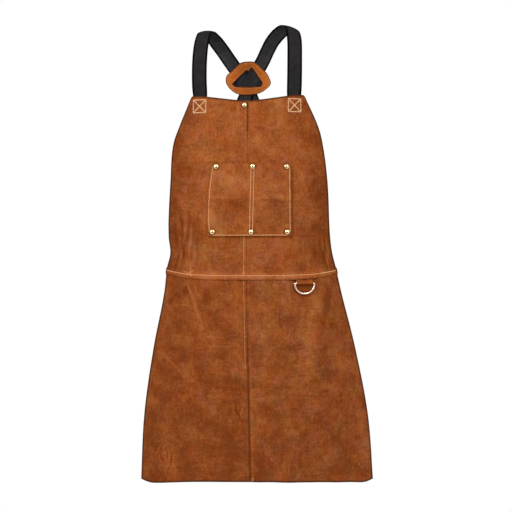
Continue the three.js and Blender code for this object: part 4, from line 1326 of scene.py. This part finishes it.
# Rough size of each panel, which sets its number of points, and how yellow its hide is
Hide = namedtuple("Hide", "wide tall ochre")
HIDES = {
    "bib_left": Hide(0.245, 0.490, -0.015),
    "bib_right": Hide(0.275, 0.490, -0.015),
    "skirt_left": Hide(0.325, 0.575, -0.03),
    "skirt_right": Hide(0.360, 0.575, 0.045),
}


def panels():
    side = lambda column: lambda z: section(column, z)
    lapped = lambda z: seam_x(z) - SEAM_LAP
    bib_low = lambda x: waist_z(x) - WAIST_LAP
    bib, skirt = (bib_low, top_edge_z), (hem_z, waist_z)
    seam = seam_rows()
    bib_rows = [*strap_box_rows(), seam.above, seam.below, *waist_rows(), *strap_end_rows()]
    skirt_rows = [seam.skirt_high, seam.skirt_low]
    return (
        Panel("bib_left", side("left"), seam_x, *bib, bib_left_lift, bib_tone, bib_rows),
        Panel("bib_right", lapped, side("right"), *bib, bib_right_lift, bib_tone, bib_rows),
        Panel("skirt_left", side("left"), seam_x, *skirt, skirt_left_lift, skirt_tone, skirt_rows),
        Panel("skirt_right", lapped, side("right"), *skirt, skirt_right_lift, skirt_tone, skirt_rows),
    )


def panel_grid(panel):
    """x and z of a panel's points: rows up, columns across."""
    hide = HIDES[panel.node]
    across, up = spread(hide.wide, CLOTH_STEP), spread(hide.tall, CLOTH_STEP)
    zero = np.zeros(1)
    level_z = panel.low(zero) + (panel.high(zero) - panel.low(zero)) * up
    left, right = panel.left(level_z)[:, None], panel.right(level_z)[:, None]
    x = left + (right - left) * across
    z = panel.low(x) + (panel.high(x) - panel.low(x)) * up[:, None]
    return x, z


def panel_edge(middle, x, z):
    """Distance from the cut edge as the finish shows it, whose dark band is partly painted shade: less dark
    on the laps, more outside.
    """
    seen = edge_distance(middle[..., (0, 2)], False)
    from_lap = np.minimum(np.abs(x - seam_x(z)), np.abs(z - waist_z(x) + WAIST_LAP))
    least = LAP_EDGE + LAP_EDGE_FLAT * seam_flat(z)
    return np.where(from_lap < LAP_EDGE_WIDTH, np.maximum(seen, least), OUTER_EDGE * seen)


class APRON_OT_panels(bpy.types.Operator):
    """Bib and skirt, each in two lapped halves"""

    bl_idname = "apron.panels"
    bl_label = "Leather panels"

    def execute(self, context):
        hide = settings().leather.thickness
        finish = finish_once("napped_suede", suede)
        for panel in panels():
            x, z = panel_grid(panel)
            sewn = pucker(distance_to(panel.rows, x, z))
            middle = on_front(x, z, panel.lift(x, z) + sewn - hide / 2)
            values = {
                "tone": hide_tone(x, z, relief(x, z) + sewn) + panel.tone(x, z),
                "edge": panel_edge(middle, x, z),
                "ochre": np.full_like(x, HIDES[panel.node].ochre),
            }
            made = cloth(panel.node + "_suede", middle, hide, finish, values)
            dress(made, "apron", [panel.node])
        return {"FINISHED"}


class APRON_OT_pocket(bpy.types.Operator):
    """Chest pocket, parted in two by a double row of stitches"""

    bl_idname = "apron.pocket"
    bl_label = "Pocket"

    def execute(self, context):
        hide = settings().leather.thickness
        top, bottom = POCKET[0], POCKET[-1]
        wide, tall = bottom.right - bottom.left, top.z - bottom.z
        z = (bottom.z + tall * spread(tall, POCKET_STEP))[:, None]
        left, right = pocket_edge("left", z), pocket_edge("right", z)
        x = left + (right - left) * spread(wide, POCKET_STEP)
        z = z + 0 * x
        sewn = pucker(distance_to(pocket_rows(), x, z))
        middle = on_front(x, z, pocket_lift(x, z) + sewn + hide / 2)
        values = {
            "tone": hide_tone(x, z, relief(x, z) + sewn) + pocket_tone(x, z),
            "edge": np.maximum(edge_distance(middle, False), POCKET_EDGE),
        }
        made = cloth("pocket_suede", middle, hide, finish_once("napped_suede", suede), values)
        dress(made, "apron", ["bib_pocket"])
        return {"FINISHED"}


def patch_axes():
    """Across, up and outward on the patch."""
    lean = PATCH_LEAN
    return np.array((
        (1, 0, 0),
        (0, -math.sin(lean), math.cos(lean)),
        (0, math.cos(lean), math.sin(lean)),
    ))


def on_patch(across, up, out):
    local = np.stack(np.broadcast_arrays(across, up, out), axis=-1)
    return PATCH_AT + local @ patch_axes()


def strap_floor(side):
    """How far a strap's inner face lies outside the patch's inner layer."""
    web = settings().webbing.thickness
    return PATCH_GAP if side == "right" else 2 * PATCH_GAP + web


def strap_route(side):
    """Points of a strap's middle and the directions that its face looks in."""
    web, leather = settings().webbing.thickness, settings().leather
    outward = -1 if side == "left" else 1
    behind = -leather.thickness - leather.gap - SEWN_BOW - web / 2
    front_x = outward * STRAP_X
    points, faces = [], []

    def add(point, face):
        points.append(np.array(point, float))
        faces.append(unit(np.array(face, float)))

    def add_sewn(x, z):
        x, z = np.array(x), np.array(z)
        add(on_front(x, z, behind, False), front_normal(x, z, False))

    for z in (SEWN_Z, SEWN_Z + SEWN_STEP, float(top_edge_z(np.array(front_x))) - SEWN_TOP):
        add_sewn(front_x, z)
    for row in SHOULDER[side]:
        add((row.x, row.y, row.z), (row.nx, row.ny, row.nz))
    for across, up in CROSSING[side]:
        add(on_patch(across, up, strap_floor(side) + web / 2), patch_axes()[2])
    sewn_z = WAIST_Z + WAIST_RISE + WAIST_SEWN_ABOVE
    edge_x = float(section("right" if side == "left" else "left", np.array(sewn_z)))
    for row in LOWER_BACK:
        add((row.reach * edge_x, row.y, row.z), (-outward * row.nx, row.ny, 0))
    for step in range(WAIST_SEWN_COUNT):
        add_sewn(edge_x + outward * (WAIST_SEWN_START + step * WAIST_SEWN_STEP), sewn_z)
    return np.array(points), np.array(faces)


def strap_line(side):
    """The route as a dense smooth line, with its face directions."""
    points, faces = strap_route(side)
    run = smooth_line(points, STRAP_STEPS)
    return run, resample(np.arange(len(run)) / STRAP_STEPS, np.arange(len(points)), faces)


class APRON_OT_straps(bpy.types.Operator):
    """Webbing straps that cross on the back"""

    bl_idname = "apron.straps"
    bl_label = "Straps"

    def execute(self, context):
        web = settings().webbing
        finish = finish_once("woven_webbing", webbing)
        across = (spread(web.width, STRAP_STEP) - 0.5) * web.width
        for side in ("left", "right"):
            run, look = strap_line(side)
            along = np.gradient(run, axis=0)
            width = unit(np.cross(along, look))
            out = unit(np.cross(width, along))
            on_top = smoothstep(look[:, 2], *SHOULDER_TOP)[:, None]
            bow = SHOULDER_BOW * on_top * (2 * across / web.width) ** 2
            middle = run[:, None] + width[:, None] * across[:, None] - out[:, None] * bow[..., None]
            in_window = np.linalg.norm(middle - PATCH_AT, axis=-1) < WINDOW_REACH
            values = {
                "edge": np.maximum(edge_distance(middle, False), SELVEDGE * in_window),
                "along": np.broadcast_to(run_lengths(run, 0)[:, None], middle.shape[:2]),
                "across": np.broadcast_to(across, middle.shape[:2]),
            }
            made = cloth(f"strap_{side}_webbing", middle, web.thickness, finish, values)
            dress(made, "apron", [f"strap_{side}"])
        return {"FINISHED"}


def polar(points, middle, angles):
    """Distance of a closed line from a middle point, at angles round it."""
    local = points - middle
    around = np.arctan2(local[:, 1], local[:, 0]) % (2 * math.pi)
    order = np.argsort(around)
    return np.interp(angles, around[order], np.hypot(*local.T)[order], period=2 * math.pi)


def rounded_corners(corners, radius):
    """A closed line through corners, each with a round of about that radius."""
    runs = []
    corners = np.array(corners)
    t = np.linspace(0, 1, WINDOW_CORNER_POINTS)[:, None]
    for i, at in enumerate(corners):
        ends = []
        for other in (corners[i - 1], corners[(i + 1) % len(corners)]):
            away = other - at
            ends.append(at + away * min(radius / np.linalg.norm(away), WINDOW_MOST))
        runs.append((1 - t) ** 2 * ends[0] + 2 * t * (1 - t) * at + t**2 * ends[1])
    turned = np.concatenate(runs)
    sides = zip(turned, np.roll(turned, -1, axis=0))
    return np.concatenate([np.linspace(a, b, WINDOW_RUN_POINTS, endpoint=False) for a, b in sides])


def patch_rims():
    """Radius of the patch's outline and of its window, at angles round the window's middle."""
    angles = np.linspace(0, 2 * math.pi, PATCH_ANGLES, endpoint=False)
    outline = polar(smooth_line(PATCH_OUTLINE, PATCH_STEPS, closed=True), WINDOW_MIDDLE, angles)
    window = polar(rounded_corners(PATCH_WINDOW, WINDOW_ROUND), WINDOW_MIDDLE, angles)
    return angles, outline, window


def around_patch(angles, radius):
    direction = np.stack([np.cos(angles), np.sin(angles)], axis=-1)
    return WINDOW_MIDDLE + direction * radius[..., None]


def strap_cover(side, at):
    """1 over a strap, falling to 0 beside it."""
    rows = np.array(CROSSING[side])
    start, end = rows[:-1], rows[1:]
    run = end - start
    share = ((at[..., None, :] - start) * run).sum(-1) / (run * run).sum(-1)
    foot = start + np.clip(share, 0, 1)[..., None] * run
    nearest = np.linalg.norm(at[..., None, :] - foot, axis=-1).min(-1)
    return 1 - smoothstep(nearest - settings().webbing.width / 2, *STRAP_COVER)


def outer_patch_floor(at):
    """Inner face of the patch's outer layer, above the inner layer."""
    web = settings().webbing.thickness
    over = [strap_cover(side, at) * (strap_floor(side) + web + PATCH_GAP) for side in ("left", "right")]
    return np.maximum(np.maximum(*over), PATCH_GAP)


class APRON_OT_patches(bpy.types.Operator):
    """Leather patch where the straps cross: a layer with a window and a plain layer"""

    bl_idname = "apron.patches"
    bl_label = "Back patch"

    def execute(self, context):
        thick = settings().leather.patch_thickness
        finish = finish_once("tan_leather", patch_leather)
        angles, outline, window = patch_rims()
        share = spread(float((outline - window).mean()), PATCH_STEP)[:, None]
        radius = window + (outline - window) * share
        at = around_patch(angles, radius)[:, ::-1]
        away = np.minimum(np.abs(outline - radius - PATCH_STITCH), np.abs(radius - window - PATCH_STITCH))
        sewn = pucker(away[:, ::-1])
        middle = on_patch(at[..., 0], at[..., 1], -thick / 2 - sewn)
        inner = cloth("patch_inner_leather", middle, thick, finish, closed=True)
        dress(inner, "apron", ["cross_patch_inner"])

        shares = 2 * spread(float(outline.mean()) * 2, PATCH_STEP) - 1
        u, v = np.meshgrid(-shares, shares)
        disc = np.stack([u * np.sqrt(1 - v * v / 2), v * np.sqrt(1 - u * u / 2)], axis=-1)
        turn = np.arctan2(disc[..., 1], disc[..., 0]) % (2 * math.pi)
        rim = np.interp(turn, angles, outline, period=2 * math.pi)
        at = WINDOW_MIDDLE + disc * rim[..., None]
        from_rim = rim * (1 - np.linalg.norm(disc, axis=-1))
        sewn = pucker(np.abs(from_rim - PATCH_STITCH))
        middle = on_patch(at[..., 0], at[..., 1], outer_patch_floor(at) + thick / 2 + sewn)
        outer = cloth("patch_outer_leather", middle, thick, finish)
        dress(outer, "apron", ["cross_patch_outer"])
        return {"FINISHED"}


def ring_axes():
    """Along the ring's bar, out of the apron and up, as rows."""
    bar = np.array(RING_HINGE["axis"])
    out = front_normal(np.array(RING_X), np.array(RING_Z), False)
    return np.array((bar, out, np.cross(bar, out)))


def ring_path():
    """Middle of the ring's wire, along its bar and down from it."""
    quarter = np.linspace(0, math.pi / 2, RING_CORNER_POINTS)
    corner_x, corner_z = RING_HALF - RING_CORNER, -RING_CORNER
    right = np.stack([corner_x + RING_CORNER * np.sin(quarter), corner_z + RING_CORNER * np.cos(quarter)], -1)
    bow = np.linspace(0, math.pi, RING_BOW_POINTS)[1:-1]
    low = np.stack([RING_HALF * np.cos(bow), corner_z - (RING_DROP - RING_CORNER) * np.sin(bow)], -1)
    left = right[::-1] * (-1, 1)
    corners = np.concatenate([right, low, left, right[:1]])
    run = run_lengths(corners, 0)
    return resample(np.linspace(0, run[-1], RING_POINTS, endpoint=False), run, corners)


def tab_line():
    """The tab's middle across the bar: down behind it, round under it and up in front."""
    bend = settings().metal.wire / 2 + TAB_PLAY + TAB_THICK / 2
    top = float(waist_z(np.array(RING_X))) - WAIST_LAP - RING_Z + TAB_TUCK
    turn = np.linspace(math.pi, 2 * math.pi + TAB_LEAVE, TAB_TURN_POINTS)
    under = np.stack([bend * np.cos(turn), bend * np.sin(turn)], axis=-1)
    front = -bend + TAB_THICK + settings().leather.gap
    meet = (front, under[-1][1] + (under[-1][0] - front) / math.tan(TAB_LEAVE))
    corners = np.concatenate([[(-bend, top)], under, [meet], [(front, top)]])
    run = run_lengths(corners, 0)
    smooth = resample(spread(float(run[-1]), TAB_STEP) * run[-1], run, corners)
    for _ in range(TAB_SMOOTHING):
        smooth[1:-1] = (smooth[:-2] + 2 * smooth[1:-1] + smooth[2:]) / 4
    return smooth


class APRON_OT_ring(bpy.types.Operator):
    """Wire ring at the waist and the folded leather tab that holds it"""

    bl_idname = "apron.ring"
    bl_label = "Ring and tab"

    def execute(self, context):
        axes, hinge = ring_axes(), np.array(RING_HINGE["pos_m"])
        run = tab_line()
        across = (spread(TAB_WIDTH, TAB_STEP) - 0.5) * TAB_WIDTH
        local = np.zeros((len(run), len(across), 3))
        local[..., 0] = across
        local[..., 1:] = run[:, None]
        middle = hinge + local @ axes
        values = {
            "tone": np.full(middle.shape[:2], TAB_TONE),
            "edge": np.maximum(edge_distance(middle, False), TAB_EDGE),
        }
        tab = cloth("tab_suede", middle, TAB_THICK, finish_once("napped_suede", suede), values)
        dress(tab, "apron", ["ring_tab"])

        radius = settings().metal.wire / 2
        path = ring_path()
        along = unit(np.roll(path, -1, axis=0) - np.roll(path, 1, axis=0))
        turn = np.linspace(0, 2 * math.pi, RING_SIDES, endpoint=False)
        local = np.zeros((RING_POINTS, RING_SIDES, 3))
        local[..., 0] = path[:, :1] - along[:, 1:] * radius * np.cos(turn)
        local[..., 1] = radius * np.sin(turn)
        local[..., 2] = path[:, 1:] + along[:, :1] * radius * np.cos(turn)
        cos, sin = math.cos(RING_REST), math.sin(RING_REST)
        tilt = np.array(((1, 0, 0), (0, cos, sin), (0, -sin, cos)))
        points = hinge + local @ tilt @ axes
        faces = tube_faces(RING_POINTS, RING_SIDES, closed=True)
        ring = mesh_object("ring_wire", points, faces, None, finish_once("nickel_plating", nickel))
        dress(ring, "ring", ["d_ring"])
        return {"FINISHED"}


def rivet_profile(grip):
    """Radius and height of a rivet, from the middle of its back to the top of its dome."""
    metal, gap = settings().metal, settings().leather.gap
    bowl = (metal.cap**2 + metal.dome**2) / (2 * metal.dome)
    under = -grip - gap
    low = under - RIVET_BACK_THICK
    top = gap + RIVET_RIM + metal.dome
    angles = np.linspace(math.asin(metal.cap / bowl), DOME_LAST, DOME_POINTS)
    return np.array([
        (RIVET_CENTRE, low),
        (RIVET_BACK - RIVET_BEVEL, low),
        (RIVET_BACK, low + RIVET_BEVEL),
        (RIVET_BACK, under),
        (RIVET_POST, under),
        (RIVET_POST, 0.0),
        (metal.cap - CAP_BEVEL, 0.0),
        (metal.cap, CAP_BEVEL),
        (metal.cap, gap + RIVET_RIM - RIVET_BEVEL),
        *((bowl * math.sin(angle), top - bowl * (1 - math.cos(angle))) for angle in angles),
    ])


class APRON_OT_rivets(bpy.types.Operator):
    """Domed rivets of the pocket and the bib"""

    bl_idname = "apron.rivets"
    bl_label = "Rivets"

    def execute(self, context):
        turn = np.linspace(0, 2 * math.pi, RIVET_SIDES, endpoint=False)
        for rivet in rivet_places():
            x, z = np.array(float(rivet.x)), np.array(float(rivet.z))
            out = Vector(front_normal(x, z, False))
            turned = np.array(out.to_track_quat("Z", "X").to_matrix())
            radius, high = rivet_profile(rivet.grip).T[..., None]
            local = np.stack([radius * np.cos(turn), radius * np.sin(turn), high + 0 * turn], axis=-1)
            points = on_front(x, z, rivet.face, False) + local @ turned.T
            faces = tube_faces(len(radius), RIVET_SIDES)
            made = mesh_object(rivet.node + "_cap", points, faces, None, finish_once("brass_plating", brass))
            dress(made, "apron", [rivet.node])
        return {"FINISHED"}


def stitches_along(path, normals, radius, pitch, draw):
    """Points and twist of the stitches that follow a path."""
    run = run_lengths(path, 0)
    count = max(1, round(run[-1] / pitch))
    pitch = run[-1] / count
    centres = (np.arange(count) + 0.5 + draw.uniform(-STITCH_JITTER, STITCH_JITTER, count)) * pitch
    at = centres[:, None] + STITCH_ALONG * STITCH_REACH * pitch
    middle, normal = resample(at, run, path), unit(resample(at, run, normals))
    side = np.cross(unit(middle[:, -1:] - middle[:, :1]), normal)
    sway = radius * draw.uniform(-STITCH_SWAY, STITCH_SWAY, (count, 1, 1)) * STITCH_ALONG[None, :, None]
    height = radius * (STITCH_RISE - STITCH_SINK * np.abs(STITCH_ALONG) ** 3)
    middle = middle + normal * height[:, None] + side * sway
    girth = radius * np.sqrt(1 - STITCH_TAPER * STITCH_ALONG**2)
    turn = np.linspace(0, 2 * math.pi, STITCH_SIDES, endpoint=False)
    around = side[:, :, None] * np.cos(turn)[:, None] + normal[:, :, None] * np.sin(turn)[:, None]
    points = middle[:, :, None] + around * girth[:, None, None]
    twist = at[:, :, None] / (STITCH_TWIST * radius) * 2 * math.pi + turn
    return points.reshape(count, -1, 3), twist.reshape(count, -1)


def stitch_object(name, parts, material):
    """One mesh of all the stitches of a group."""
    points, twist = (np.concatenate(column) for column in zip(*parts))
    size = len(STITCH_ALONG) * STITCH_SIDES
    one = tube_faces(len(STITCH_ALONG), STITCH_SIDES)
    faces = [[k * size + i for i in face] for k in range(len(points)) for face in one]
    return dress(mesh_object(name, points, faces, {"twist": twist}, material), "apron")


def front_stitches(rows, radius, pitch, draw):
    """Stitches on the face that carries each row, and their backs on the face behind."""
    parts = []
    for row in rows:
        x, z = row.points.T
        normal = front_normal(x, z)
        seen = on_front(x, z, row.lift(x, z) - GROOVE)
        parts.append(stitches_along(seen, normal, radius, pitch, draw))
        behind = on_front(x, z, row.back(x, z))
        parts.append(stitches_along(behind, -normal, BACK_THREAD * radius, pitch, draw))
    return parts


def patch_stitches(radius, pitch, draw):
    """Rows round the rim and the window of the patch, on both of its faces."""
    angles, outline, window = patch_rims()
    closing = np.append(np.arange(len(angles)), 0)
    thick = settings().leather.patch_thickness
    outward = patch_axes()[2]
    rim, window_rim = outline - PATCH_STITCH, window + PATCH_STITCH
    parts = []
    for loop, face in ((rim, -1), (window_rim, -1), (rim, 1)):
        at = around_patch(angles, loop)[closing]
        floor = outer_patch_floor(at) if face > 0 else 0
        path = on_patch(at[:, 0], at[:, 1], floor + face * (thick - GROOVE))
        parts.append(stitches_along(path, np.tile(face * outward, (len(at), 1)), radius, pitch, draw))
    return parts


class APRON_OT_stitches(bpy.types.Operator):
    """Rows of thread that hold the leather and the straps"""

    bl_idname = "apron.stitches"
    bl_label = "Stitches"

    def execute(self, context):
        sewing = settings().thread
        pale, tan, brown = (
            finish_once(f"thread_{key}", lambda name: thread(name, getattr(sewing, key)))
            for key in ("pale", "tan", "brown")
        )
        seam = seam_rows()
        groups = (
            ("strap_box_stitches", strap_box_rows(), 2.3, pale),
            ("pocket_stitches", pocket_rows(), 1.9, tan),
            ("waist_stitches", waist_rows(), 1.6, tan),
            ("seam_stitches", [seam.below, seam.skirt_high], 0.8, tan),
            ("worn_seam_stitches", [seam.above, seam.skirt_low], 0.8, brown),
            ("strap_end_stitches", strap_end_rows(), 0.8, brown),
            ("tack_stitches", hem_tack_rows() + waist_tack_rows(), 1.2, tan),
        )
        for seed, (name, rows, weight, material) in enumerate(groups, SEED):
            draw = np.random.default_rng(seed)
            stitch_object(name, front_stitches(rows, weight * sewing.radius, sewing.pitch, draw), material)
        draw = np.random.default_rng(SEED)
        parts = patch_stitches(PATCH_THREAD * sewing.radius, PATCH_PITCH * sewing.pitch, draw)
        stitch_object("patch_stitches", parts, tan)
        return {"FINISHED"}


def lay_floor():
    turn = np.linspace(0, 2 * math.pi, FLOOR_SIDES, endpoint=False)
    low = MODEL_BOX[0].z - settings().stage.floor_drop
    rim = np.stack([FLOOR_RADIUS * np.cos(turn), FLOOR_RADIUS * np.sin(turn), low + 0 * turn], axis=-1)
    material = finish_once("pale_floor", pale_floor)
    floor = mesh_object("floor", rim, [tuple(range(FLOOR_SIDES))], None, material)


def hang_light(side, power):
    lamp = bpy.data.lights.new("soft_light", "AREA")
    lamp.energy = power
    lamp.size = LIGHT_SIZE
    light = bpy.data.objects.new("soft_light", lamp)
    light.location = (side * LIGHT_ASIDE, LIGHT_FRONT, LIGHT_HIGH)
    light.rotation_euler = (LIGHT_AIM - light.location).to_track_quat("-Z", "Y").to_euler()
    bpy.context.scene.collection.objects.link(light)


def studio_world():
    """Dim light from all round, a white wall for the camera, and a wall with a dark gap for bright metal."""
    base = {"Color": WHITE, "Strength": settings().stage.fill}
    studio = Finish(bpy.data.worlds.new("studio"), "Background", base)

    def glow(shade, strength):
        return studio.node("ShaderNodeBackground", None, {"Color": shade, "Strength": strength})

    def blend(share, first, second):
        return studio.node("ShaderNodeMixShader", None, {0: share, 1: first, 2: second})

    seen = studio.node("ShaderNodeLightPath", None, None, "Is Camera Ray")
    mirrored = studio.node("ShaderNodeLightPath", None, None, "Is Glossy Ray")
    direction = studio.node("ShaderNodeTexCoord", None, None, "Generated")
    across, depth, height = (
        studio.node("ShaderNodeSeparateXYZ", None, {0: direction}, axis) for axis in range(3)
    )
    off = (across / GAP_WIDE) ** 2 + ((height + GAP_LOW) / GAP_TALL) ** 2
    in_gap = studio.ease(-1 * depth, *GAP_AHEAD) * (1 - studio.ease(off, *GAP_SOFT))
    shown = blend(seen, Term(studio, studio.shader.outputs[0]), glow(WHITE, 1.0))
    mirror = blend(in_gap, glow(WALL_WARM, WALL_GLOW), glow(WHITE, GAP_GLOW))
    studio.put(studio.tree.nodes["World Output"].inputs["Surface"], blend(mirrored, shown, mirror))
    return studio.owner


def set_camera():
    stage = settings().stage
    lens = bpy.data.cameras.new("camera")
    lens.sensor_width = 1000 * SENSOR
    lens.lens = 1000 * SENSOR * stage.distance / (PHOTO_PIXELS * stage.pixel)
    camera = bpy.data.objects.new("camera", lens)
    camera.location = (CAMERA_X, FRONT_PLANE_Y - stage.distance, CAMERA_Z)
    camera.rotation_euler = (math.pi / 2, 0, 0)
    bpy.context.scene.collection.objects.link(camera)
    bpy.context.scene.camera = camera


class APRON_OT_stage(bpy.types.Operator):
    """Pale floor, soft lights and the camera"""

    bl_idname = "apron.stage"
    bl_label = "Stage"

    def execute(self, context):
        lay_floor()
        hang_light(-1, settings().stage.key)
        hang_light(1, settings().stage.side)
        context.scene.world = studio_world()
        context.scene.view_settings.view_transform = "Standard"
        set_camera()
        return {"FINISHED"}


STEPS = (
    APRON_OT_stage,
    APRON_OT_panels,
    APRON_OT_pocket,
    APRON_OT_straps,
    APRON_OT_patches,
    APRON_OT_ring,
    APRON_OT_rivets,
    APRON_OT_stitches,
)


class APRON_PT_sidebar(bpy.types.Panel):
    """Lists the apron's pieces and settings"""

    bl_idname = "APRON_PT_sidebar"
    bl_label = "Suede Bib Apron"
    bl_space_type = "VIEW_3D"
    bl_region_type = "UI"
    bl_category = "Apron"

    def draw(self, context):
        for step in STEPS:
            self.layout.operator(step.bl_idname)
        for name in ApronSettings.__annotations__:
            group = getattr(settings(), name)
            box = self.layout.box()
            for key in group.__annotations__:
                box.prop(group, key)


CLASSES = (
    LeatherSettings,
    WebbingSettings,
    ThreadSettings,
    MetalSettings,
    StageSettings,
    ApronSettings,
    *STEPS,
    APRON_PT_sidebar,
)


def register():
    for item in CLASSES:
        bpy.utils.register_class(item)
    bpy.types.Scene.apron = bpy.props.PointerProperty(type=ApronSettings)


def unregister():
    del bpy.types.Scene.apron
    for item in reversed(CLASSES):
        bpy.utils.unregister_class(item)


def main():
    register()
    bpy.ops.apron.stage()
    bpy.ops.apron.panels()
    bpy.ops.apron.pocket()
    bpy.ops.apron.straps()
    bpy.ops.apron.patches()
    bpy.ops.apron.ring()
    bpy.ops.apron.rivets()
    bpy.ops.apron.stitches()


if __name__ == "__main__":
    main()
